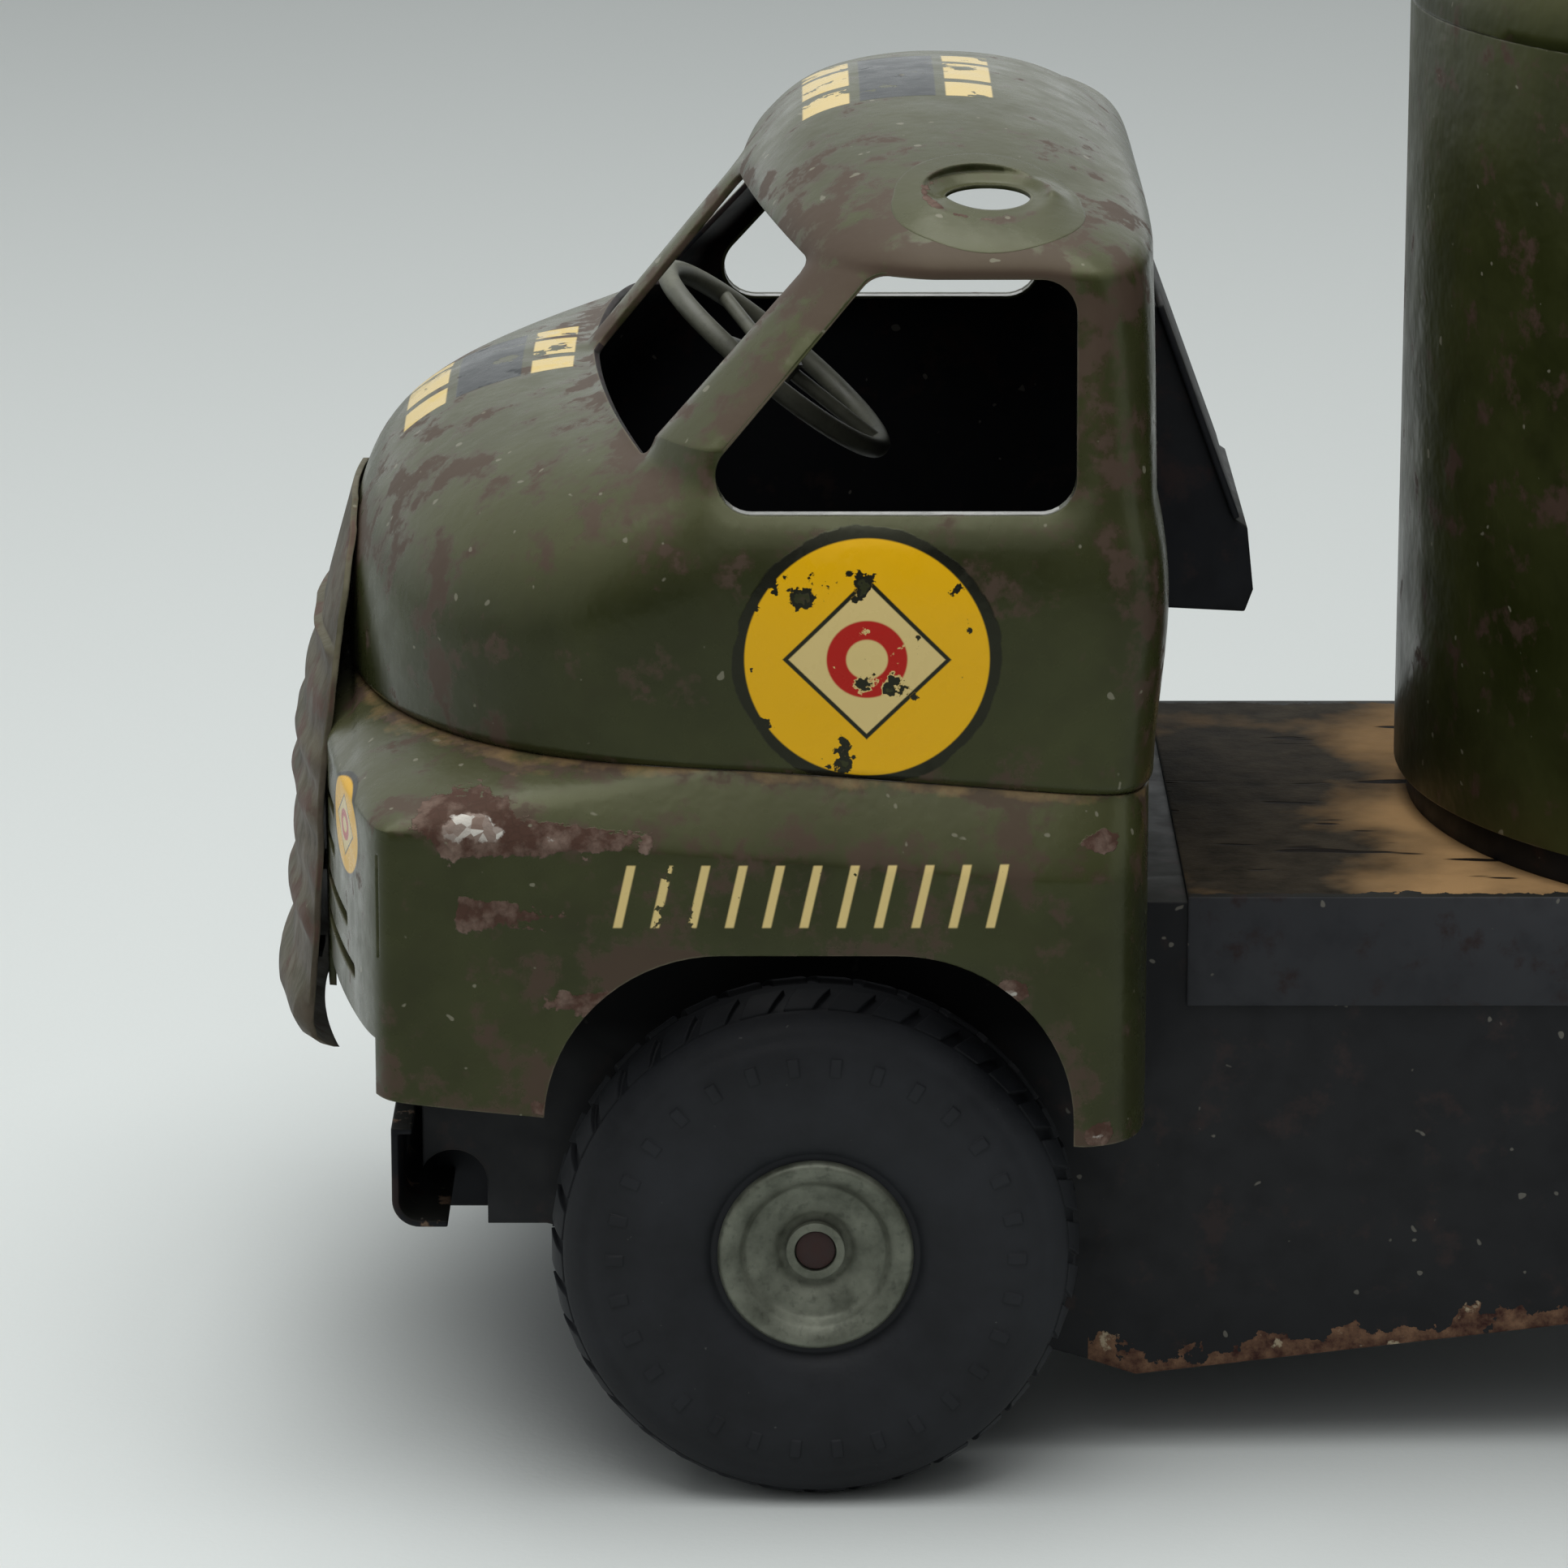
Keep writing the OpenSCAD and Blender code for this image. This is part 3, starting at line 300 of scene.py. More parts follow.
def finishSheet(sheet):
    tree, coats, shader = sheet["tree"], sheet["coats"], sheet["shader"]
    height = addNode(tree, "ShaderNodeMath", timesPlus, Value=sheet["inked"],
                     Value_001=transfers["thickMm"], Value_002=coats["height"])
    bumped = addNode(tree, "ShaderNodeBump", Distance=0.001, Height=height, Normal=coats["normal"])
    plain = addNode(tree, "ShaderNodeMath", minus, Value=1.0, Value_001=sheet["inked"])
    metal = addNode(tree, "ShaderNodeMath", times, Value=coats["metal"], Value_001=plain)
    plug(tree, shader, BaseColor=sheet["colour"], Roughness=coats["roughness"], Metallic=metal, Normal=bumped)
    shader.inputs["IOR"].default_value = oliveLook["ior"]
    shader.inputs["Specular Tint"].default_value = toLinear(oliveLook["tint"])
    return sheet["material"]


# Roundel of a yellow disc, a cream diamond and a red ring, in shares of the disc's radius
roundel = {"outline": 0.69, "diamond": 0.64, "ring": 0.25, "ringHalf": 0.08, "ragged": 0.12}


def layRoundel(sheet, u, v, mark, where):
    tree, radius, keep = sheet["tree"], mark["radius"], mark["keep"]
    arrow = addNode(tree, "ShaderNodeCombineXYZ", X=u, Y=v)
    out = addNode(tree, "ShaderNodeVectorMath", {"operation": "LENGTH"}, "Value", Vector=arrow)
    disc = (out, radius, under)
    # a ragged black rim
    wobble = addNode(tree, "ShaderNodeMath", minus, Value=sheet["flake"], Value_001=0.5)
    wobble = addNode(tree, "ShaderNodeMath", times, Value=wobble, Value_001=roundel["ragged"] * radius)
    ragged = addNode(tree, "ShaderNodeMath", plus, Value=out, Value_001=wobble)
    layInk(sheet, "black", keep + 0.06, (ragged, radius + mark["rim"], under), where)
    layInk(sheet, "yellow", keep, disc, where)
    sideways = addNode(tree, "ShaderNodeMath", absolute, Value=u)
    upright = addNode(tree, "ShaderNodeMath", absolute, Value=v)
    lozenge = addNode(tree, "ShaderNodeMath", plus, Value=sideways, Value_001=upright)
    for ink, share in (("black", roundel["outline"]), ("cream", roundel["diamond"])):
        layInk(sheet, ink, keep, (lozenge, share * radius, under), disc, where)
    ring = addNode(tree, "ShaderNodeMath", minus, Value=out, Value_001=roundel["ring"] * radius)
    ring = addNode(tree, "ShaderNodeMath", absolute, Value=ring)
    layInk(sheet, "red", keep - 0.02, (ring, roundel["ringHalf"] * radius, under), disc, where)


# Stripe of a slate band between two broken cream bars, long across the truck
def layStripe(sheet, stripe):
    tree = sheet["tree"]
    along = addNode(tree, "ShaderNodeMath", absolute, Value=runFrom(sheet, "X", stripe["x"]))
    across = addNode(tree, "ShaderNodeMath", absolute, Value=runFrom(sheet, "Y", 0))
    ends = (across, stripe["half"], under)
    high = (runFrom(sheet, "Z", stripe["lowZ"]), 0, over)
    layInk(sheet, "slate", 0.62, (along, stripe["band"], under), ends, high)
    bar = addNode(tree, "ShaderNodeMath", minus, Value=along, Value_001=stripe["bar"])
    bar = addNode(tree, "ShaderNodeMath", absolute, Value=bar)
    gap = addNode(tree, "ShaderNodeMath", minus, Value=across, Value_001=stripe["half"] * 0.45)
    gap = addNode(tree, "ShaderNodeMath", absolute, Value=gap)
    layInk(sheet, "cream", 0.59, (bar, stripe["barHalf"], under), (gap, stripe["gap"], over), ends, high)


# Cab: a roundel on each door, a stripe over the roof and one over the bonnet
cabMarks = {
    "roundel": {"radius": 17, "rim": 1.6, "keep": 0.6}, "roundelX": 7, "roundelZ": 126.7, "doorY": 70,
    "stripes": ({"x": 12, "lowZ": 185, "half": 18, "band": 5.5, "bar": 10.4, "barHalf": 3.4, "gap": 1.2},
                {"x": -48, "lowZ": 120, "half": 15, "band": 4.8, "bar": 9.4, "barHalf": 3.1, "gap": 1.2}),
}


def makeCabEnamel():
    sheet = newSheet("olive_enamel_with_door_transfers")
    door = (runFrom(sheet, "Y", cabMarks["doorY"], True), 0, over)
    u = runFrom(sheet, "X", cabMarks["roundelX"])
    v = runFrom(sheet, "Z", cabMarks["roundelZ"])
    layRoundel(sheet, u, v, cabMarks["roundel"], door)
    for stripe in cabMarks["stripes"]:
        layStripe(sheet, stripe)
    return finishSheet(sheet)


# Wings: a roundel on each front corner and a row of slanted bars along each side
wingMarks = {
    "roundel": {"radius": 6.6, "rim": 0.7, "keep": 0.72}, "roundelY": 65, "roundelZ": 98, "stretch": 0.62,
    "frontX": -58, "sideY": 83, "rowX": -0.75, "rowZ": 93.5, "rowHalf": 28.6, "barHigh": 4.5, "barHalf": 0.62,
    "pitch": 5.2, "slant": 0.22, "rowKeep": 0.6,
}


def makeWingEnamel():
    sheet = newSheet("olive_enamel_with_wing_transfers")
    tree, marks = sheet["tree"], wingMarks
    front = (runFrom(sheet, "X", marks["frontX"]), 0, under)
    u = runFrom(sheet, "Y", marks["roundelY"], True)
    u = addNode(tree, "ShaderNodeMath", times, Value=u, Value_001=marks["stretch"])
    layRoundel(sheet, u, runFrom(sheet, "Z", marks["roundelZ"]), marks["roundel"], front)
    side = (runFrom(sheet, "Y", marks["sideY"], True), 0, over)
    high = runFrom(sheet, "Z", marks["rowZ"])
    slant = addNode(tree, "ShaderNodeMath", times, Value=high, Value_001=marks["slant"])
    along = runFrom(sheet, "X", marks["rowX"])
    along = addNode(tree, "ShaderNodeMath", minus, Value=along, Value_001=slant)
    share = addNode(tree, "ShaderNodeMath", plus, Value=along, Value_001=marks["rowHalf"])
    share = addNode(tree, "ShaderNodeMath", {"operation": "FLOORED_MODULO"}, Value=share,
                    Value_001=marks["pitch"])
    bar = addNode(tree, "ShaderNodeMath", minus, Value=share, Value_001=marks["pitch"] / 2)
    bar = addNode(tree, "ShaderNodeMath", absolute, Value=bar)
    along = addNode(tree, "ShaderNodeMath", absolute, Value=along)
    high = addNode(tree, "ShaderNodeMath", absolute, Value=high)
    layInk(sheet, "cream", marks["rowKeep"], (bar, marks["barHalf"], under), (along, marks["rowHalf"], under),
           (high, marks["barHigh"], under), side)
    # the edge under the seam is rubbed down to a tan primer
    seam = addNode(tree, "ShaderNodeAttribute", {"attribute_name": "seam"}, "Fac")
    rubbed = addNode(tree, "ShaderNodeMath", timesPlus, Value=sheet["flake"], Value_001=2.2, Value_002=seam)
    rubbed = addNode(tree, "ShaderNodeMapRange", Value=rubbed, FromMin=1.85, FromMax=2.25, ToMax=0.6)
    layMask(sheet, "tan", rubbed)
    return finishSheet(sheet)


cabEnamel = makeCabEnamel()
wingEnamel = makeWingEnamel()
blackEnamel = wornEnamel("black_dipped_enamel", blackLook)
# The same enamel, lighter, on the bed's lips
lighterBlackEnamel = wornEnamel("lighter_black_enamel",
                          dict(blackLook, deep="#2b2c2f", light="#37383b", grime="#212124"))
tankEnamel = wornEnamel("dark_olive_tank_enamel", tankLook)


# Rusted mild steel: matt, dark brown scale, with redder powder in the hollows and dark splits
def rustedSteel(name, look):
    material, tree, shader = newMaterial(name)
    place = addNode(tree, "ShaderNodeTexCoord", out="Object")
    scale = addNode(tree, "ShaderNodeTexNoise", Vector=place,
                    Scale=1000 / look["scaleMm"], Detail=7.0, Roughness=0.68)
    powder = addNode(tree, "ShaderNodeTexNoise", Vector=place,
                     Scale=1000 / look["powderMm"], Detail=4.0, Roughness=0.6)
    tone = addNode(tree, "ShaderNodeMapRange", Value=scale, FromMin=0.3, FromMax=0.7)
    colour = addNode(tree, "ShaderNodeMix", colourMix, 2, Factor_Float=tone,
                     A_Color=toLinear(look["deep"]), B_Color=toLinear(look["light"]))
    bloom = addNode(tree, "ShaderNodeMapRange", Value=powder, FromMin=0.46, FromMax=0.72,
                    ToMax=look["bloomMost"])
    colour = addNode(tree, "ShaderNodeMix", colourMix, 2, Factor_Float=bloom,
                     A_Color=colour, B_Color=toLinear(look["powder"]))
    stretched = addNode(tree, "ShaderNodeMapping", Vector=place, Scale=(look["splitLong"], 1.0, 1.0))
    split = addNode(tree, "ShaderNodeTexVoronoi", cellEdges, Vector=stretched, Scale=1000 / look["splitMm"])
    splitLine = addNode(tree, "ShaderNodeMapRange", Value=split, FromMin=0.018, FromMax=0.0)
    broken = addNode(tree, "ShaderNodeMapRange", Value=powder, FromMin=0.52, FromMax=0.6)
    splitLine = addNode(tree, "ShaderNodeMath", times, Value=splitLine, Value_001=broken)
    colour = addNode(tree, "ShaderNodeMix", colourMix, 2, Factor_Float=splitLine,
                     A_Color=colour, B_Color=toLinear(look["split"]))
    roughness = addNode(tree, "ShaderNodeMapRange", Value=scale, FromMin=0.3, FromMax=0.7,
                        ToMin=look["gloss"][0], ToMax=look["gloss"][1])
    height = addNode(tree, "ShaderNodeMath", times, Value=scale, Value_001=look["rough"])
    height = addNode(tree, "ShaderNodeMath", timesPlus, Value=splitLine,
                     Value_001=-look["splitDeep"], Value_002=height)
    rounded = addNode(tree, "ShaderNodeBevel", {"samples": 4}, Radius=look["edgeMm"] * 0.001)
    bumped = addNode(tree, "ShaderNodeBump", Distance=0.001, Height=height, Normal=rounded)
    plug(tree, shader, BaseColor=colour, Roughness=roughness, Normal=bumped)
    return material


rodLook = {
    "deep": "#180a08", "light": "#331712", "powder": "#3d1f15", "split": "#120d0b", "gloss": (0.6, 0.85),
    "scaleMm": 5, "powderMm": 16, "splitMm": 6, "splitLong": 0.16, "edgeMm": 0.3,
    "bloomMost": 0.6, "rough": 0.22, "splitDeep": 0.2,
}
rustedRod = rustedSteel("rusted_steel_rod", rodLook)


# Zinc-plated tin: dull grey with cloudy oxide and fine tarnish
def zincPlate(name, look):
    material, tree, shader = newMaterial(name)
    place = addNode(tree, "ShaderNodeTexCoord", out="Object")
    cloud = addNode(tree, "ShaderNodeTexNoise", Vector=place,
                    Scale=1000 / look["cloudMm"], Detail=5.0, Roughness=0.6)
    fine = addNode(tree, "ShaderNodeTexNoise", Vector=place, Scale=1000 / look["fineMm"], Detail=3.0)
    tone = addNode(tree, "ShaderNodeMapRange", Value=cloud, FromMin=0.34, FromMax=0.66)
    colour = addNode(tree, "ShaderNodeMix", colourMix, 2, Factor_Float=tone,
                     A_Color=toLinear(look["deep"]), B_Color=toLinear(look["light"]))
    tarnish = addNode(tree, "ShaderNodeMapRange", Value=fine, FromMin=0.55, FromMax=0.75,
                      ToMax=look["tarnishMost"])
    colour = addNode(tree, "ShaderNodeMix", colourMix, 2, Factor_Float=tarnish,
                     A_Color=colour, B_Color=toLinear(look["tarnish"]))
    roughness = addNode(tree, "ShaderNodeMapRange", Value=cloud, FromMin=0.3, FromMax=0.7,
                        ToMin=look["gloss"][0], ToMax=look["gloss"][1])
    height = addNode(tree, "ShaderNodeMath", times, Value=fine, Value_001=look["rough"])
    rounded = addNode(tree, "ShaderNodeBevel", {"samples": 4}, Radius=look["edgeMm"] * 0.001)
    bumped = addNode(tree, "ShaderNodeBump", Distance=0.001, Height=height, Normal=rounded)
    plug(tree, shader, BaseColor=colour, Roughness=roughness, Normal=bumped)
    shader.inputs["Metallic"].default_value = look["metal"]
    return material


zincLook = {
    "deep": "#4e5146", "light": "#777a6d", "tarnish": "#363930", "gloss": (0.42, 0.6), "metal": 0.55,
    "cloudMm": 6, "fineMm": 1.2, "edgeMm": 0.3, "tarnishMost": 0.5, "rough": 0.05,
}
zincTin = zincPlate("zinc_plated_tin", zincLook)
# Pale tin for a painted highlight: a bright line along the sills, where they catch the light from above
sillHighlightLook = dict(zincLook, deep="#b4b5b1", light="#dcdcd8", tarnish="#8b8b86", metal=0.15)
sillHighlightTin = zincPlate("tin_with_painted_sill_highlight", sillHighlightLook)
# Grey paint on the steering wheel: clouded in the same way, without the metal
greyLook = dict(zincLook, deep="#55564a", light="#6b6c5e", tarnish="#45463c", metal=0.0)
wheelGrey = zincPlate("grey_painted_steering_wheel", greyLook)


# Moulded rubber: matt charcoal with a dusty bloom in patches, pale specks and a fine grain
def mouldedRubber(name, look):
    material, tree, shader = newMaterial(name)
    place = addNode(tree, "ShaderNodeTexCoord", out="Object")
    dust = addNode(tree, "ShaderNodeTexNoise", Vector=place,
                   Scale=1000 / look["dustMm"], Detail=6.0, Roughness=0.65)
    grain = addNode(tree, "ShaderNodeTexNoise", Vector=place, Scale=1000 / look["grainMm"], Detail=2.0)
    tone = addNode(tree, "ShaderNodeMapRange", Value=dust, FromMin=0.36, FromMax=0.68)
    colour = addNode(tree, "ShaderNodeMix", colourMix, 2, Factor_Float=tone,
                     A_Color=toLinear(look["deep"]), B_Color=toLinear(look["dusty"]))
    speck = addNode(tree, "ShaderNodeMapRange", Value=grain, FromMin=0.76, FromMax=0.8,
                    ToMax=look["speckMost"])
    colour = addNode(tree, "ShaderNodeMix", colourMix, 2, Factor_Float=speck,
                     A_Color=colour, B_Color=toLinear(look["speck"]))
    roughness = addNode(tree, "ShaderNodeMapRange", Value=dust, FromMin=0.3, FromMax=0.7,
                        ToMin=look["gloss"][0], ToMax=look["gloss"][1])
    height = addNode(tree, "ShaderNodeMath", times, Value=grain, Value_001=look["rough"])
    rounded = addNode(tree, "ShaderNodeBevel", {"samples": 4}, Radius=look["edgeMm"] * 0.001)
    bumped = addNode(tree, "ShaderNodeBump", Distance=0.001, Height=height, Normal=rounded)
    plug(tree, shader, BaseColor=colour, Roughness=roughness, Normal=bumped)
    shader.inputs["Specular IOR Level"].default_value = look["specular"]
    return material


rubberLook = {
    "deep": "#0f1115", "dusty": "#24262a", "speck": "#5b5b58", "gloss": (0.55, 0.78), "specular": 0.3,
    "dustMm": 18, "grainMm": 0.9, "edgeMm": 0.4, "speckMost": 0.5, "rough": 0.06,
}
tyreRubber = mouldedRubber("moulded_rubber", rubberLook)
print("materials ready")


def newPiece(name, points, faces, *materials):
    mesh = bpy.data.meshes.new(name)
    mesh.from_pydata(metres(points).tolist(), [], faces)
    piece = bpy.data.objects.new(name, mesh)
    bpy.context.scene.collection.objects.link(piece)
    for material in materials:
        mesh.materials.append(material)
    return piece


# Replaces a piece's mesh by what its modifiers make of it
def settle(piece):
    graph = bpy.context.evaluated_depsgraph_get()
    made = bpy.data.meshes.new_from_object(piece.evaluated_get(graph))
    old = piece.data
    piece.modifiers.clear()
    piece.data = made
    bpy.data.meshes.remove(old)


def cutAway(piece, cutters):
    for cutter in cutters:
        step = piece.modifiers.new("cut", "BOOLEAN")
        step.operation = "DIFFERENCE"
        step.solver = "MANIFOLD"
        step.object = cutter
    settle(piece)
    for cutter in cutters:
        bpy.data.objects.remove(cutter)


def shadeSmooth(piece, degrees=32):
    piece.data.shade_smooth()
    piece.data.set_sharp_from_angle(angle=math.radians(degrees))


def setMark(piece, name, values):
    layer = piece.data.attributes.new(name, "FLOAT", "POINT")
    layer.data.foreach_set("value", np.asarray(values, np.float32))


def carry(piece, body, slot, *nodes):
    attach(piece, body)
    if nodes:
        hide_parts(*nodes)
    return piece


# Quads between rings of n points each; where closed, the last ring meets the first
def quads(rings, n, closed=False):
    faces = []
    for i in range(rings if closed else rings - 1):
        here, there = i * n, (i + 1) % rings * n
        for j in range(n):
            k = (j + 1) % n
            faces.append((here + j, here + k, there + k, there + j))
    return faces


# Closed skin through rings of equal length that run anticlockwise from above, lowest first
def skin(rings):
    rows, n = len(rings), len(rings[0])
    points = np.concatenate([np.reshape(rings, (-1, 3)), [np.mean(rings[0], 0)], [np.mean(rings[-1], 0)]])
    faces = quads(rows, n)
    low, high = rows * n, rows * n + 1
    last = (rows - 1) * n
    for i in range(n):
        k = (i + 1) % n
        faces.append((k, i, low))
        faces.append((last + i, last + k, high))
    return points, faces


def oblong(left, right, low, high):
    return [(left, low), (right, low), (right, high), (left, high)]


# Outline of a convex drawing with its corners rounded, anticlockwise
def roundedOutline(corners, r, steps=8):
    outline = []
    for i, p in enumerate(corners):
        p = Vector(p)
        before = (Vector(corners[i - 1]) - p).normalized()
        after = (Vector(corners[(i + 1) % len(corners)]) - p).normalized()
        half = before.angle(after) / 2
        centre = p + (before + after).normalized() * r / math.sin(half)
        start = p + before * r / math.tan(half) - centre
        end = p + after * r / math.tan(half) - centre
        for s in range(steps + 1):
            mixed = (start.lerp(end, s / steps)).normalized() * r
            outline.append(tuple(centre + mixed))
    return outline


def outward(piece):
    work = bmesh.new()
    work.from_mesh(piece.data)
    bmesh.ops.recalc_face_normals(work, faces=work.faces)
    work.to_mesh(piece.data)
    work.free()


# A drawing pushed through space: place(u, v, depth) gives the point
def prism(name, outline, place, low, high):
    n = len(outline)
    points = [place(u, v, low) for u, v in outline] + [place(u, v, high) for u, v in outline]
    faces = [tuple(range(n)), tuple(range(2 * n - 1, n - 1, -1))]
    faces += [(n + i, n + (i + 1) % n, (i + 1) % n, i) for i in range(n)]
    piece = newPiece(name, points, faces)
    outward(piece)
    return piece


# Places for drawings made from the side and from the front
def fromSide(u, v, depth):
    return u, depth, v


def fromFront(u, v, depth):
    return depth, u, v


# Distance from points in a plane to a closed outline
def outlineDistance(flat, outline):
    best = np.full(len(flat), 1e9)
    for a, b in zip(outline, outline[1:] + outline[:1]):
        a, d = np.array(a), np.array(b) - np.array(a)
        if d @ d < 1e-9:
            continue
        t = np.clip(((flat - a) @ d) / (d @ d), 0, 1)
        best = np.minimum(best, np.hypot(*(flat - a - t[:, None] * d).T))
    return best


# 1 at no distance, falling away over the reach
def fade(distance, reach):
    return np.exp(-(distance / reach) ** 2)


# Paints with the second material what faces a point inside; least is how squarely it has to
def paintInside(piece, middle, least):
    inside = Vector(metres([middle])[0])
    for face in piece.data.polygons:
        away = (face.center - inside).normalized()
        face.material_index = 1 if face.normal.dot(away) < -least else 0


def signedPow(v, e):
    return np.sign(v) * np.abs(v) ** e


# Depth of a rounded end of power n, at a share v of its half width
def bulge(v, n):
    return np.maximum(0, 1 - np.minimum(1, np.abs(v)) ** n) ** (1 / n)


# The smaller of two values, with the change from one to the other rounded over k
def softMin(a, b, k):
    h = np.maximum(k - np.abs(a - b), 0) / np.maximum(k, 1e-6)
    return np.minimum(a, b) - h * h * k / 4


# Cab pressing: rounded nose, curved windscreen that leans back, domed roof
cab = {
    "half": 82, "roofHalf": 77, "rear": 48, "doorX": -10, "roofMid": 17, "belt": 1.8, "slope": 0.078,
    "tin": 1, "seamZ": 109.5, "sillZ": 146.5, "scuttleZ": 155, "eavesZ": 179, "roofZ": 195.6,
    "noseReach": 69.5, "noseMid": -15, "noseN": 3.4, "noseEnd": 86.5, "seamFlat": 14,
    "screenX": -33.6, "lean": 0.82, "scuttleLean": 0.7, "screenCurve": (2.3, 0.6), "screenInset": 1.3,
    # powers of the rounded corners, the bonnet's at the seam and how much it falls to the scuttle
    "frontN": 2.4, "bodyN": 14, "eavesN": 6, "crownN": 2.6, "bonnetN": (2.3, 1.25), "bonnetBlend": 4,
    "domeN": (0.58, 1.6), "domeRearN": 1.9, "domeFrontN": 8,
    "around": 400, "noseRows": 46, "screenRows": 18, "roofRows": 40,
    "window": [(-14, 146.5), (36, 146.5), (36, 178.7), (8, 178.7), (-14, 153.5)], "windowCorner": 5,
    "screen": [(4, 0.2), (66, 3.27), (60.5, 38.9), (4, 34.4)], "screenCorner": 2.4,
    "back": (-54, 54, 120, 175), "backCorner": 3, "rollWidth": 4.2, "rollDepth": 1.15, "screenRoll": 0.8,
    # height over the seam and how far the tin is set in there
    "seamRoll": ((0, 0.9), (0.4, 0.55), (0.8, 0.22), (1.3, 0)), "seamRollTop": 1.6,
    # rubbed places: x, distance from the middle, z, reach and strength
    "rubs": ((-46, 50, 138, 16, 0.3), (-58, 20, 146, 16, 0.25), (-30, 74, 150, 12, 0.35),
             (-62, 30, 132, 12, 0.22),
             (8, 62, 184, 14, 0.34), (0, 40, 188, 12, 0.25), (40, 60, 186, 14, 0.18), (44, 30, 190, 14, 0.18),
             (30, 80, 140, 12, 0.2), (-50, 60, 118, 10, 0.25)),
    "inside": (12, 0, 150), "insideLeast": 0.25,
}


def beltAt(z):
    t = max(0, (z - cab["seamZ"]) / (cab["sillZ"] - cab["seamZ"]))
    return cab["belt"] * math.sin(math.pi * t ** 1.6) if z < cab["sillZ"] else 0


def screenFront(z):
    lean = cab["scuttleLean"] if z < cab["scuttleZ"] else cab["lean"]
    return cab["screenX"] + (z - cab["scuttleZ"]) * lean


def screenBulge(v):
    flat, steep = cab["screenCurve"]
    return np.maximum(0, 1 - np.minimum(1, np.abs(v)) ** flat) ** steep


# Run along the seam's slope: the seam is level round the nose and falls from the doors to the rear
def seamRun(x):
    return -softMin(-x, cab["seamFlat"], cab["seamFlat"])


def acrossAt(turn, ahead, cornerN):
    return np.where(ahead, signedPow(np.sin(turn), 2 / cab["frontN"]), signedPow(np.sin(turn), 2 / cornerN))


def bodyRing(z, bonnetFront, inset, turn):
    up = max(0, (z - cab["sillZ"]) / (cab["eavesZ"] - cab["sillZ"]))
    half = cab["half"] + beltAt(z) - up * (cab["half"] - cab["roofHalf"]) - inset
    rear = cab["rear"] + beltAt(z) - inset
    back = max(0, (z - cab["scuttleZ"]) / (cab["eavesZ"] - cab["scuttleZ"]))
    mid = cab["doorX"] + back * (cab["roofMid"] - cab["doorX"])
    screenReach = mid - screenFront(z) - cab["screenInset"] * inset
    bonnetReach = max(0, cab["doorX"] - bonnetFront)
    cornerN = cab["bodyN"] + up * (cab["eavesN"] - cab["bodyN"])
    bonnetUp = max(0, min(1, (z - cab["seamZ"]) / (cab["scuttleZ"] - cab["seamZ"])))
    bonnetN = cab["bonnetN"][0] - cab["bonnetN"][1] * bonnetUp ** 3
    ahead = np.cos(turn) < 0
    v = acrossAt(turn, ahead, cornerN)
    front = mid - screenReach * screenBulge(v)
    if bonnetReach > 0:
        bonnet = cab["doorX"] - bonnetReach * bulge(v, bonnetN)
        front = softMin(front, bonnet, cab["bonnetBlend"] * bulge(v, 2))
    x = np.where(ahead, front, mid + (rear - mid) * np.abs(np.cos(turn)) ** (2 / cornerN))
    fall = cab["slope"] * max(0, (cab["sillZ"] - z) / (cab["sillZ"] - cab["seamZ"]))
    return np.stack([x, half * v, z - fall * seamRun(x)], 1)


def roofRing(share, inset, turn):
    shareN, riseN = cab["domeN"]
    rise = (1 - share ** (1 / shareN)) ** (1 / riseN)
    a = math.asin(min(1, rise ** (cab["domeRearN"] / 2)))
    z = cab["eavesZ"] + (cab["roofZ"] - cab["eavesZ"] - inset) * rise
    half = (cab["roofHalf"] - inset) * share
    aheadReach = cab["roofMid"] - screenFront(z) - cab["screenInset"] * inset
    aheadReach *= (1 - rise ** cab["domeFrontN"]) ** 0.5
    rearReach = (cab["rear"] - cab["roofMid"] - inset) * math.cos(a) ** (2 / cab["domeRearN"])
    cornerN = cab["eavesN"] + (cab["crownN"] - cab["eavesN"]) * min(1, 2 * rise)
    ahead = np.cos(turn) < 0
    v = acrossAt(turn, ahead, cornerN)
    run = np.where(ahead, -aheadReach * screenBulge(v), rearReach * np.abs(np.cos(turn)) ** (2 / cornerN))
    return np.stack([cab["roofMid"] + run, half * v, np.full(len(turn), z)], 1)


def noseZ(a, inset):
    return cab["seamZ"] + (cab["scuttleZ"] - cab["seamZ"] - inset) * math.sin(a) ** (2 / cab["noseN"])


def noseFront(a, inset):
    return cab["noseMid"] - (cab["noseReach"] + cab["noseMid"] - inset) * math.cos(a) ** (2 / cab["noseN"])


# Values of t that split a path into even lengths
def evenSteps(path, low, high, count):
    t = np.linspace(low, high, 6000)
    at = path(t)
    run = np.concatenate([[0], np.cumsum(np.linalg.norm(np.diff(at, axis=0), axis=1))])
    return np.interp(np.linspace(0, run[-1], count), run, t)


# Turns that are even along a ring just under the windows
def cabTurns(around):
    half = evenSteps(lambda t: bodyRing(140, noseFront(0.6, 0), 0, t)[:, :2], 0, math.pi, around // 2 + 1)
    return np.concatenate([half, 2 * math.pi - half[-2:0:-1]])


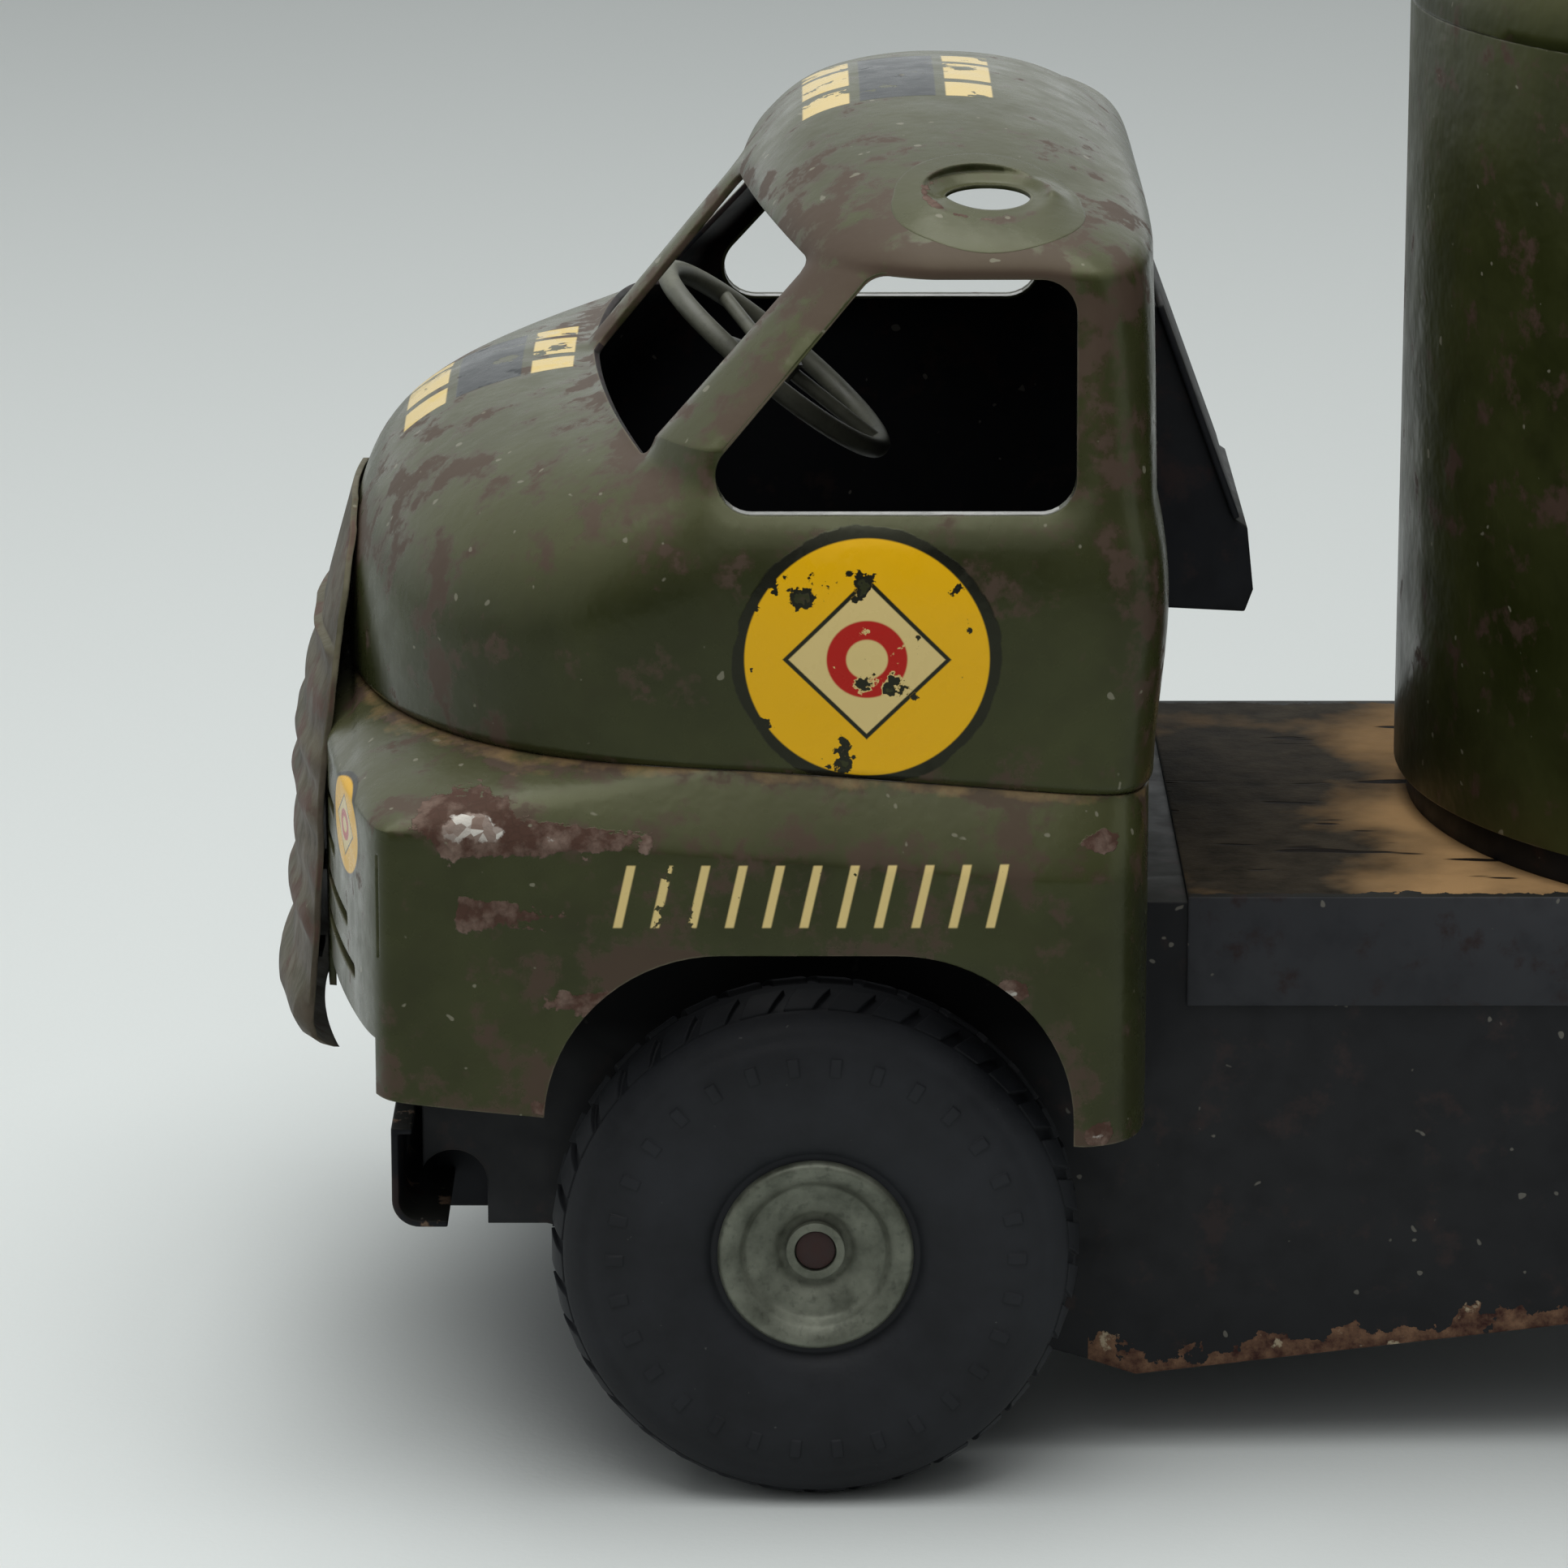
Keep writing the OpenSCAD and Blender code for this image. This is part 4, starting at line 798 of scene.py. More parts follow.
def cabRings(inset, turn, coarse=1):
    nose = evenSteps(lambda t: np.array([(noseFront(a, inset), noseZ(a, inset)) for a in t]),
                     0, math.radians(cab["noseEnd"]), cab["noseRows"] // coarse)
    rings = [bodyRing(noseZ(a, inset), noseFront(a, inset), inset, turn) for a in nose]
    if inset == 0:
        # the lower edge rolls in, which leaves a dark groove over the wings
        rolled = []
        for high, depth in cab["seamRoll"]:
            a = math.asin((high / (cab["scuttleZ"] - cab["seamZ"])) ** (cab["noseN"] / 2))
            rolled.append(bodyRing(cab["seamZ"] + high, noseFront(a, depth), depth, turn))
        top = cab["seamZ"] + cab["seamRollTop"]
        rings = rolled + [ring for ring, a in zip(rings, nose) if noseZ(a, 0) > top]
    span = cab["eavesZ"] - cab["scuttleZ"]
    for share in np.linspace(0.02, 0.975, cab["screenRows"] // coarse):
        rings.append(bodyRing(cab["scuttleZ"] + share * span, cab["doorX"], inset, turn))
    count = cab["roofRows"] // coarse
    for k in range(count + 1):
        rings.append(roofRing(1 - 0.985 * (k / count) ** 1.5, inset, turn))
    return rings


screenTurn = math.atan(cab["lean"])


def onScreen(u, v, depth):
    return (cab["screenX"] + v * math.sin(screenTurn) + depth * math.cos(screenTurn), u,
            cab["scuttleZ"] + v * math.cos(screenTurn) - depth * math.sin(screenTurn))


# Hatch rim: a shallow pressed bead that sinks to the hole's lip and runs out flush on the roof
hatch = {
    "middle": (24, -58, 187.5), "tilt": 6.5, "hole": 9.4, "around": 96,
    "thick": 0.6, "castFrom": 12, "proud": 0.03,
    # radii from the lip outwards, as start, end and count
    "runs": ((6, 10.4, 18), (10.8, 13.2, 8)),
    # radius and height of the bead over the hatch's own plane
    "rim": ((6, -0.45), (6.6, -0.6), (7.4, -0.5), (8.2, 0), (8.9, 0.42), (9.6, 0.4), (10.6, 0.15)),
    # on its low side the bead spreads, starts to fade sooner and fades more slowly
    "spread": 0.45, "fadeFrom": 8.6, "fadeSooner": 1.6, "fadeOver": 4, "flushFrom": 9.2,
    "crest": 8.9, "crestHalf": 1.1,
}


def onHatch(u, v, depth):
    x, y, z = hatch["middle"]
    a = math.radians(hatch["tilt"])
    return x + u, y + v * math.cos(a) - depth * math.sin(a), z + v * math.sin(a) + depth * math.cos(a)


def makeHatchRim(roofSkin):
    a = math.radians(hatch["tilt"])
    along = Vector((1, 0, 0))
    across = Vector((0, math.cos(a), math.sin(a)))
    up = Vector((0, -math.sin(a), math.cos(a)))
    middle, high = Vector(hatch["middle"]), hatch["castFrom"]
    steps = np.concatenate([np.linspace(*run) for run in hatch["runs"]])
    points, away = [], []
    for t in np.linspace(0, 2 * math.pi, hatch["around"], False):
        out = along * math.cos(t) + across * math.sin(t)
        low = max(0, -math.sin(t))
        top = []
        for r in steps + (steps - steps[0]) * hatch["spread"] * low:
            roof = high - roofSkin.ray_cast(middle + out * r + up * high, -up)[3] + hatch["proud"]
            plane = np.interp(r, *zip(*hatch["rim"]))
            plane += (roof - plane) * low ** 0.6
            share = (r - hatch["fadeFrom"] + hatch["fadeSooner"] * low) / (hatch["fadeOver"] * (1 + low))
            share = min(1, max(0, share))
            level = plane + (roof - plane) * share * share * (3 - 2 * share)
            top.append((r, max(level, roof) if r > hatch["flushFrom"] else level))
        for r, level in top + [(r, level - hatch["thick"]) for r, level in top[::-1]]:
            points.append(tuple(middle + out * r + up * level))
            away.append((r, t))
    rim = newPiece("hatch_rim", points, quads(hatch["around"], 2 * len(steps), True), oliveEnamel)
    outward(rim)
    r, t = np.array(away).T
    crest = fade(r - hatch["crest"], hatch["crestHalf"])
    setMark(rim, "wear", 0.3 * crest)
    setMark(rim, "chip", 0.62 * crest * (0.35 + 0.65 * np.clip(-np.cos(t - 0.5), 0, 1)))
    shadeSmooth(rim, 60)
    return carry(rim, "truck", "olive_paint", "hatch_ring")


# Hems turned in round each side window, with a painted highlight along the sill
hem = {"near": 1.3, "far": 4.2, "thick": 0.5, "gap": 0.04, "castFrom": 130, "brightHigh": 1}


def makeHems(cabSkin, window):
    points, faces, n = [], [], len(window)
    section = ((hem["gap"], hem["near"]), (hem["gap"], hem["far"]),
               (hem["thick"], hem["far"]), (hem["thick"], hem["near"]))
    for side in (-1, 1):
        start = len(points)
        for i, (x, z) in enumerate(window):
            run = Vector(window[(i + 1) % n]) - Vector(window[i - 1])
            out = Vector((run.y, -run.x)).normalized() if run.length > 1e-6 else Vector((0, 0))
            y = side * cabSkin.ray_cast(Vector((x, side * hem["castFrom"], z)), Vector((0, -side, 0)))[0].y
            for gap, deep in section:
                points.append((x + out.x * gap, side * (y - deep), z + out.y * gap))
        faces += [tuple(start + q for q in face) for face in quads(n, len(section), True)]
    hems = newPiece("window_hems", points, faces, oliveEnamel, sillHighlightTin)
    outward(hems)
    # the up-facing faces along the sill take the pale tin, a painted highlight
    sillTop = (cab["sillZ"] + hem["brightHigh"]) * 0.001
    for face in hems.data.polygons:
        face.material_index = 1 if face.normal.z > 0.5 and face.center.z < sillTop else 0
    shadeSmooth(hems)
    return carry(hems, "truck", "olive_paint")


# Rubbed along the pillars, the roof's edges and the rear corners, and chipped on the seam
def markCab(shell, p, nearOpening):
    x, y, z = p[:, 0], np.abs(p[:, 1]), p[:, 2]
    eaves = fade(z - cab["eavesZ"], 6) * (y > 55)
    pillars = fade(nearOpening, 5) * (z > cab["sillZ"] + 1.5)
    corner = fade(cab["rear"] - x, 6) * fade(y - 80, 8)
    wear = 0.08 + 0.22 * eaves + 0.3 * pillars + 0.22 * corner
    for rubX, rubY, rubZ, reach, strong in cab["rubs"]:
        spot = ((x - rubX) ** 2 + (y - rubY) ** 2 + (z - rubZ) ** 2) / reach ** 2
        wear += strong * np.exp(-spot)
    setMark(shell, "wear", np.clip(wear, 0, 0.6))
    seam = fade(z - cab["seamZ"], 1.5)
    setMark(shell, "chip", 0.25 * seam + 0.3 * eaves * corner)


def makeCab():
    points, faces = skin(cabRings(0, cabTurns(cab["around"])))
    cabSkin = BVHTree.FromPolygons([tuple(q) for q in points], faces)
    shell = newPiece("cab_pressing", points, faces, cabEnamel, blackEnamel)
    inner = cabRings(cab["tin"], cabTurns(cab["around"] // 2), 2)
    window = roundedOutline(cab["window"], cab["windowCorner"])
    screen = roundedOutline(cab["screen"], cab["screenCorner"])
    back = roundedOutline(oblong(*cab["back"]), cab["backCorner"])
    turns = np.linspace(0, 2 * math.pi, 64, False)
    hole = [(hatch["hole"] * math.cos(t), hatch["hole"] * math.sin(t)) for t in turns]
    # the prisms run clear of the tin on both sides
    cutters = [newPiece("hollow", *skin([inner[0] - (0, 0, 40)] + inner))]
    cutters.append(prism("window", window, fromSide, -170, 170))
    for s in (1, -1):
        cutters.append(prism("screen", screen, lambda u, v, d: onScreen(u * s, v, d), -6, 15))
    cutters.append(prism("back", back, fromFront, 45, 60))
    cutters.append(prism("hatchHole", hole, onHatch, -20, 20))
    cutAway(shell, cutters)
    # the tin rolls in round each opening
    p = millimetres(shell.data)
    x, y, z = p[:, 0] - cab["screenX"], p[:, 1], p[:, 2] - cab["scuttleZ"]
    lean, rise = math.sin(screenTurn), math.cos(screenTurn)
    sides = outlineDistance(p[:, [0, 2]], window)
    ahead = outlineDistance(np.stack([np.abs(y), x * lean + z * rise], 1), screen)
    onSide = np.abs(y) > 60
    onFront = (np.abs(x * rise - z * lean) < 22) & (p[:, 0] < 20)
    roll = np.where(onSide, np.clip(1 - sides / cab["rollWidth"], 0, 1) ** 2, 0) * cab["rollDepth"]
    rollAhead = np.where(onFront, np.clip(1 - ahead / cab["rollWidth"], 0, 1) ** 2, 0)
    rollAhead = rollAhead * cab["rollDepth"] * cab["screenRoll"]
    moved = p.copy()
    moved[:, 1] -= np.sign(y) * roll
    moved[:, 0] += rollAhead * rise
    moved[:, 2] -= rollAhead * lean
    shell.data.vertices.foreach_set("co", metres(moved).ravel())
    shell.data.update()
    markCab(shell, p, np.minimum(sides, ahead))
    # the faces turned inward take the black enamel: painted shade for the dark inside of the cab
    paintInside(shell, cab["inside"], cab["insideLeast"])
    shadeSmooth(shell)
    makeHatchRim(cabSkin)
    makeHems(cabSkin, window)
    return carry(shell, "truck", "olive_paint", "cab_shell", "cab_pillars", "cab_roof")


cabPiece = makeCab()
print("cab pressed:", len(cabPiece.data.polygons), "faces")

# Wings, apron and shoulder in one pressing, open below
wings = {
    "half": 86.9, "rear": 47.3, "mid": -30, "reach": 73, "bow": 11.5, "tin": 1,
    "bowN": 2.2, "cornerN": 28, "rearN": 14,
    "lowZ": 56.5, "lowSlope": 0.118, "shoulderZ": 98, "seamInset": 0.6, "ledge": 1.3, "ledgeInset": 3,
    "around": 520, "lowRows": 26, "shoulderRows": 16,
    "arch": (-38.3, 36.3), "archTop": 84.7, "archCorner": 25, "archCurl": 3, "archCurlDeep": 0.7,
    "chassisRoom": (-60, 60, 0, 85.05),
    # louvres as low edge and outer end, on both sides of the grille
    "louvres": ((77, 72), (83, 66), (89, 52),
                (95, 52)), "louvreY": 36, "louvreHigh": 2.2, "louvreCorner": 0.9,
    # beside the grille the apron stops above the wings' lower edges, and its joint gapes at each front corner
    "underApron": (34, 83.6, 0, 72), "slit": (-62, -61.1, 84, 99),
    # chipped places on the sides: x, z, half length, half height, strength
    "chips": [(-48, 103.5, 8, 4.5, 1.15), (-48.2, 91.2, 2.6, 3.4, 1.0), (-34.6, 93, 1.4, 2.6, 0.9),
              (-41.5, 83.2, 5, 2.2, 0.9), (-31.3, 79.4, 3.6, 4.4, 0.9), (-41.7, 62.7, 5.5, 2.4, 0.95),
              (39.9, 58.3, 2.4, 2, 1.1), (-25.5, 97.1, 2.6, 3.2, 0.85), (-38, 101.5, 4.2, 2.6, 0.9),
              (40, 100.6, 4, 2, 0.85), (27.7, 79.7, 2.6, 1.8, 1.1), (-42.7, 74.4, 1.2, 4, 0.8)],
    "inside": (-13, 0, 70), "insideLeast": 0.2,
}


def wingRing(z, blend, inset, turn, seam):
    n, rearN = wings["cornerN"], wings["rearN"]
    ahead = np.cos(turn) < 0
    v = np.where(ahead, signedPow(np.sin(turn), 2 / n), signedPow(np.sin(turn), 2 / rearN))
    apron = -wings["reach"] + wings["bow"] * np.abs(v) ** wings["bowN"]
    front = wings["mid"] - (wings["mid"] - apron - inset) * bulge(v, n)
    behind = wings["mid"] + (wings["rear"] - wings["mid"] - inset) * np.abs(np.cos(turn)) ** (2 / rearN)
    x = np.where(ahead, front, behind)
    y = (wings["half"] - inset) * v
    sx, sy = np.minimum(seam[:, 0], wings["rear"] - inset), seam[:, 1]
    px, py = sx + (x - sx) * blend, sy + (y - sy) * blend
    run = seamRun(px) + (px - seamRun(px)) * blend
    return np.stack([px, py, z - cab["slope"] * run], 1)


def seamRing(inset, turn):
    return bodyRing(cab["seamZ"], noseFront(0, inset), inset, turn)


# Turns that are even along the lower ring and the seam taken together
def wingTurns(count):
    fromRear = np.geomspace(1e-22, 1, 4000) * math.pi / 2
    toFront = math.pi - np.geomspace(1, 1e-26, 4000) * math.pi / 2
    t = np.concatenate([fromRear, toFront])
    seam = seamRing(wings["seamInset"], t)
    run = np.zeros(len(t))
    for path in (wingRing(wings["shoulderZ"], 1, 0, t, seam), seam):
        run[1:] += np.cumsum(np.linalg.norm(np.diff(path[:, :2], axis=0), axis=1))
    half = np.interp(np.linspace(0, run[-1], count // 2 + 1), run, t)
    half[0], half[-1] = 0, math.pi
    return np.concatenate([half, 2 * math.pi - half[-2:0:-1]])


def lowEdge(x):
    return wings["lowZ"] - wings["lowSlope"] * np.minimum(x, 0)


def wingRings(drop, inset, turn, coarse=1):
    seam = seamRing(wings["seamInset"], turn)
    rings = []
    for share in np.linspace(0, 1, wings["lowRows"] // coarse, False):
        ring = wingRing(wings["shoulderZ"], 1, inset, turn, seam)
        low = lowEdge(ring[:, 0]) - drop
        ring[:, 2] = low + (ring[:, 2] - low) * share
        rings.append(ring)
    for share in np.linspace(0, 1, wings["shoulderRows"] // coarse + 1) ** 1.3:
        z = wings["shoulderZ"] + (cab["seamZ"] - 0.05 - wings["shoulderZ"] - inset) * share
        rings.append(wingRing(z, 1 - share ** wings["ledge"], inset, turn, seam))
    return rings


def archOutline():
    low, high = wings["arch"]
    r, top = wings["archCorner"], wings["archTop"]
    outline = [(low, 10), (high, 10)]
    for mid, start in ((high - r, 0), (low + r, 90)):
        for t in np.radians(range(start, start + 91, 5)):
            outline.append((mid + r * math.cos(t), top - r + r * math.sin(t)))
    return outline


def wingCutters():
    hollow = newPiece("hollow", *skin(wingRings(40, wings["tin"], wingTurns(wings["around"] // 2), 2)))
    ledge = seamRing(wings["ledgeInset"], cabTurns(cab["around"] // 2))
    cutters = [hollow, newPiece("ledge", *skin([ledge - (0, 0, 40), ledge + (0, 0, 40)]))]
    # the prisms run clear of the tin on both sides
    cutters.append(prism("arch", archOutline(), fromSide, -170, 170))
    cutters.append(prism("chassisRoom", oblong(*wings["chassisRoom"]), fromFront, -30, 90))
    for z, reach in wings["louvres"]:
        for s in (-1, 1):
            low, high = sorted((s * wings["louvreY"], s * reach))
            slot = roundedOutline(oblong(low, high, z, z + wings["louvreHigh"]), wings["louvreCorner"], 4)
            cutters.append(prism("louvreSlot", slot, fromFront, -110, -30))
    underApron, slit = oblong(*wings["underApron"]), oblong(*wings["slit"])
    for s in (-1, 1):
        cutters.append(prism("underApron", underApron, lambda u, v, d: (d, s * u, v), -110, -55))
    for s in (-1, 1):
        cutters.append(prism("slit", slit, lambda u, v, d: (u, s * d, v), 84.5, 95))
    return cutters


# Chipped in places on each side, worn along the ridge, the lower edge, the seam and the arch
def markWings(unit, p, nearArch):
    x, y, z = p.T
    chip = np.zeros(len(p))
    for chipX, chipZ, long, high, strong in wings["chips"]:
        spot = np.exp(-(((x - chipX) / long) ** 2 + ((z - chipZ) / high) ** 2)) * strong
        chip = np.maximum(chip, np.where(y < 0, spot, 0))
        # the other side has chips of its own
        other = np.exp(-(((x - chipX * 0.9 + 6) / high) ** 2 + ((z - chipZ + 3) / long) ** 2)) * strong * 0.9
        chip = np.maximum(chip, np.where(y > 0, other, 0))
    setMark(unit, "chip", chip)
    ridge = fade(z - 100 + cab["slope"] * x, 3.5) * (np.abs(y) > 78)
    low = fade(z - lowEdge(x), 3)
    seam = fade(z - cab["seamZ"] + cab["slope"] * seamRun(x), 2)
    setMark(unit, "seam", seam)
    wear = 0.1 + 0.32 * ridge + 0.28 * low + 0.3 * seam + 0.22 * fade(nearArch, 4)
    setMark(unit, "wear", np.clip(wear, 0, 0.6))


def makeWings():
    turn = wingTurns(wings["around"])
    unit = newPiece("wing_pressing", *skin(wingRings(0, 0, turn)), wingEnamel, blackEnamel)
    cutAway(unit, wingCutters())
    # the arch's edge curls in a little
    p = millimetres(unit.data)
    nearArch = outlineDistance(p[:, [0, 2]], archOutline())
    curl = np.where(np.abs(p[:, 1]) > 70, np.clip(1 - nearArch / wings["archCurl"], 0, 1) ** 2, 0)
    p[:, 1] -= np.sign(p[:, 1]) * curl * wings["archCurlDeep"]
    unit.data.vertices.foreach_set("co", metres(p).ravel())
    unit.data.update()
    markWings(unit, p, nearArch)
    # the faces turned inward take the black enamel: painted shade inside the arches
    paintInside(unit, wings["inside"], wings["insideLeast"])
    shadeSmooth(unit)
    return carry(unit, "truck", "olive_paint", "wing_unit")


wingPiece = makeWings()
print("wings pressed:", len(wingPiece.data.polygons), "faces")

# Grille: an embossed plate that leans against the nose, dented here and there
grille = {
    # the back's x and the half width at each height
    "lean": ((56, -74.2), (57, -76.4), (58.5, -78), (61, -78.6), (75, -77.4), (95, -76.5), (105, -75.4),
             (120, -71.9), (134, -68)),
    "halves": ((56, 36), (58, 39), (61, 40), (100, 40), (112, 37), (124, 30), (131, 22), (134, 14)),
    "lowZ": 56, "curlZ": 60, "highZ": 134, "half": 40, "bow": 5, "thick": 0.9,
    "ribs": (72, 116), "pitch": 8, "ribDeep": 1.3, "beadZ": 62, "beadHigh": 6, "beadDeep": 1.65,
    "rim": 2.5, "dent": 0.35, "curlRows": 14, "rows": 150, "columns": 64,
}
grilleLook = dict(
    oliveLook, deep="#2c2520", light="#5b5147", grime="#191513", rub="#513a34", gloss=(0.5, 0.68),
    patchMm=14, mottleMm=4, stain=0.65, dent=0.8)
grilleEnamel = wornEnamel("grille_worn_enamel", grilleLook)


# Share of a rib's height at z, none outside the ribs
def ribAt(z):
    low, high = grille["ribs"]
    return np.sin(math.pi * (z - low) / grille["pitch"]) ** 2 * (z > low) * (z < high)


def makeGrille():
    curl = np.linspace(grille["lowZ"], grille["curlZ"], grille["curlRows"], False)
    rings = []
    for z in np.concatenate([curl, np.linspace(grille["curlZ"], grille["highZ"], grille["rows"])]):
        half = np.interp(z, *zip(*grille["halves"]))
        y = half * np.linspace(-1, 1, grille["columns"] + 1)
        backX = np.interp(z, *zip(*grille["lean"])) + grille["bow"] * (y / grille["half"]) ** 2
        rib = grille["ribDeep"] * ribAt(z) * (0.72 + 0.28 * math.sin(0.27 * z + 0.8))
        near = min(1, abs(z - grille["beadZ"]) / grille["beadHigh"])
        bead = grille["beadDeep"] * max(0, math.cos(math.pi / 2 * near)) ** 1.5
        rim = np.clip((half - np.abs(y)) / grille["rim"], 0, 1)
        raised = (rib + bead) * rim * rim * (3 - 2 * rim)
        dent = grille["dent"] * np.sin(z * 0.31 + y * 0.08) * np.sin(y * 0.17 + z * 0.05)
        backX = backX + np.maximum(dent, 0)
        back = np.stack([backX, y, np.full(len(y), z)], 1)
        front = np.stack([backX - grille["thick"] - raised, y, np.full(len(y), z)], 1)
        rings.append(np.concatenate([back[::-1], front]))
    n = len(rings[0])
    faces = quads(len(rings), n)
    half, last = n // 2, (len(rings) - 1) * n
    for i in range(half - 1):
        faces.append((n - 1 - i, n - 2 - i, i + 1, i))
        faces.append((last + i, last + i + 1, last + n - 2 - i, last + n - 1 - i))
    plate = newPiece("grille_plate", np.reshape(rings, (-1, 3)), faces, grilleEnamel)
    outward(plate)
    z = millimetres(plate.data)[:, 2]
    setMark(plate, "wear", 0.1 + 0.25 * ribAt(z))
    setMark(plate, "chip", 0.3 * ribAt(z) + 0.25 * (z < 66))
    shadeSmooth(plate, 50)
    return carry(plate, "truck", "rusted_plate", "grille")


makeGrille()
print("grille ready")

# Tyres: a spun casing with raised, slanted lugs round each shoulder and small bars on the walls
tyre = {
    "radius": 38, "half": 11.2, "mid": 25.2, "deep": 12.8, "n": 2.7, "bore": 12.2, "face": 8.2, "y": 69.5,
    "around": 180, "sectionSteps": 120,
    # between the lugs the crown is lower, from this radius on and over this width
    "crown": (35.9, 1.1),
    # shallow moulded lines on the wall: radius, half width and depth
    "lines": ((32.6, 0.7, 0.22), (26.2, 0.5, 0.18)),
    # a lug climbs from 34 degrees off the crown through 26, sunk into the casing below
    "lugs": 36, "lugRise": 0.85, "lugRows": 7, "lugHalfTurn": 0.071, "lugClimb": (34, 26), "lugSunk": 2.6,
    "lugClear": 0.04, "slant": 0.03,
    # a bar's low and high radius, half width, depth and height over the wall
    "bars": 30, "bar": (27.4, 30, 0.75, 0.5, 0.12),
}
wheels = (("front_left", 0, -1), ("front_right", 0, 1), ("rear_left", 250, -1), ("rear_right", 250, 1))


# A half section spun round the wheel's own axis, which runs along y
def spun(section, around):
    angles = np.linspace(0, 2 * math.pi, around, False)
    points = [(r * math.sin(t), y, r * math.cos(t)) for t in angles for r, y in section]
    return points, quads(around, len(section), True)


# Casing from one edge of the bore round the crown to the other
def tyreSection():
    section = []
    start, width = tyre["crown"]
    for t in np.linspace(0, 2 * math.pi, tyre["sectionSteps"], False):
        r = tyre["mid"] + tyre["deep"] * signedPow(math.cos(t), 2 / tyre["n"])
        y = tyre["half"] * signedPow(math.sin(t), 2 / tyre["n"])
        if r > tyre["mid"]:
            crown = np.clip((r - start) / width, 0, 1)
            r -= tyre["lugRise"] * crown * crown * (3 - 2 * crown)
            for at, half, deep in tyre["lines"]:
                y -= deep * np.sign(y) * fade(r - at, half)
        elif abs(y) < tyre["face"]:
            continue
        if r > tyre["bore"]:
            section.append((float(r), float(y)))
    minusSide = [p for p in section if p[1] < 0]
    plusSide = [p for p in section if p[1] > 0]
    edge, face = tyre["bore"], tyre["face"]
    return [(edge, -face)] + minusSide + section[:1] + plusSide + [(edge, face)]


# One lug: a strip of the shoulder that stands proud, from the wall up to the crown, slanting as it rises
def lugMesh():
    rows = tyre["lugRows"]
    start, climb = tyre["lugClimb"]
    points = []
    for depth, share in ((tyre["lugSunk"], 1.0), (tyre["lugClear"], 0.9)):
        for k in range(rows):
            s = k / (rows - 1)
            t = math.radians(start - climb * s)
            r = tyre["mid"] + tyre["deep"] * math.cos(t) ** (2 / tyre["n"]) - depth * math.cos(t) ** 0.6
            y = tyre["half"] * math.sin(t) ** (2 / tyre["n"]) - depth * math.sin(t) ** 0.6 * 0.6
            skew = tyre["slant"] * (s - 0.5) * 2
            narrow = tyre["lugHalfTurn"] * share * (1 - 0.12 * (1 - s))
            for a in (skew - narrow, skew + narrow):
                points.append((r * math.sin(a), y, r * math.cos(a)))
    n = rows * 2
    faces = []
    for k in range(rows - 1):
        a, b, c, d = 2 * k, 2 * k + 1, 2 * k + 3, 2 * k + 2
        faces.append((n + a, n + b, n + c, n + d))
        faces.append((a, n + a, n + d, d))
        faces.append((b, c, n + c, n + b))
        faces.append((a, d, c, b))
    faces.append((0, 1, n + 1, n))
    faces.append((n - 2, 2 * n - 2, 2 * n - 1, n - 1))
    return points, faces


# A small raised bar on the tyre's wall
def barMesh():
    low, high, half, deep, proud = tyre["bar"]
    walls = (tyre["half"] - deep, tyre["half"] + proud)
    points = [(x, y, z) for y in walls for x, z in oblong(-half, half, low, high)]
    return points, [(0, 1, 2, 3), (7, 6, 5, 4), (0, 4, 5, 1), (1, 5, 6, 2), (2, 6, 7, 3), (3, 7, 4, 0)]


# Node tree that repeats a shape round the wheel's axis
def roundTheWheel(material):
    tree = bpy.data.node_groups.new("round_the_wheel", "GeometryNodeTree")
    tree.interface.new_socket("Shape", in_out="INPUT", socket_type="NodeSocketGeometry")
    count = tree.interface.new_socket("Count", in_out="INPUT", socket_type="NodeSocketInt")
    offset = tree.interface.new_socket("Offset", in_out="INPUT", socket_type="NodeSocketFloat")
    tree.interface.new_socket("Ring", in_out="OUTPUT", socket_type="NodeSocketGeometry")
    given = tree.nodes.new("NodeGroupInput")
    result = tree.nodes.new("NodeGroupOutput")
    row = addNode(tree, "GeometryNodeMeshLine", Count=given.outputs["Count"], Offset=(0.0, 0.0, 0.0))
    number = addNode(tree, "GeometryNodeInputIndex")
    step = addNode(tree, "ShaderNodeMath", {"operation": "DIVIDE"},
                   Value=2 * math.pi, Value_001=given.outputs["Count"])
    share = addNode(tree, "ShaderNodeMath", plus, Value=number, Value_001=given.outputs["Offset"])
    angle = addNode(tree, "ShaderNodeMath", times, Value=share, Value_001=step)
    turn = addNode(tree, "ShaderNodeCombineXYZ", Y=angle)
    ring = addNode(tree, "GeometryNodeInstanceOnPoints", Points=row,
                   Instance=given.outputs["Shape"], Rotation=turn)
    solid = addNode(tree, "GeometryNodeRealizeInstances", Geometry=ring)
    painted = addNode(tree, "GeometryNodeSetMaterial", Geometry=solid, Material=material)
    tree.links.new(painted, result.inputs[0])
    return tree, count.identifier, offset.identifier


ringTree, ringCount, ringOffset = roundTheWheel(tyreRubber)


def repeatRound(name, points, faces, count, offset):
    piece = bpy.data.objects.new(name, bpy.data.meshes.new(name))
    piece.data.from_pydata(points, [], faces)
    bpy.context.scene.collection.objects.link(piece)
    ring = piece.modifiers.new("ring", "NODES")
    ring.node_group = ringTree
    ring[ringCount] = count
    ring[ringOffset] = offset
    settle(piece)
    return piece


# The same shape on the wheel's other side
def acrossTheWheel(points, faces):
    return [(x, -y, z) for x, y, z in points], [face[::-1] for face in faces]


def mergeInto(work, points, faces):
    made = [work.verts.new(p) for p in points]
    for face in faces:
        work.faces.new([made[i] for i in face])


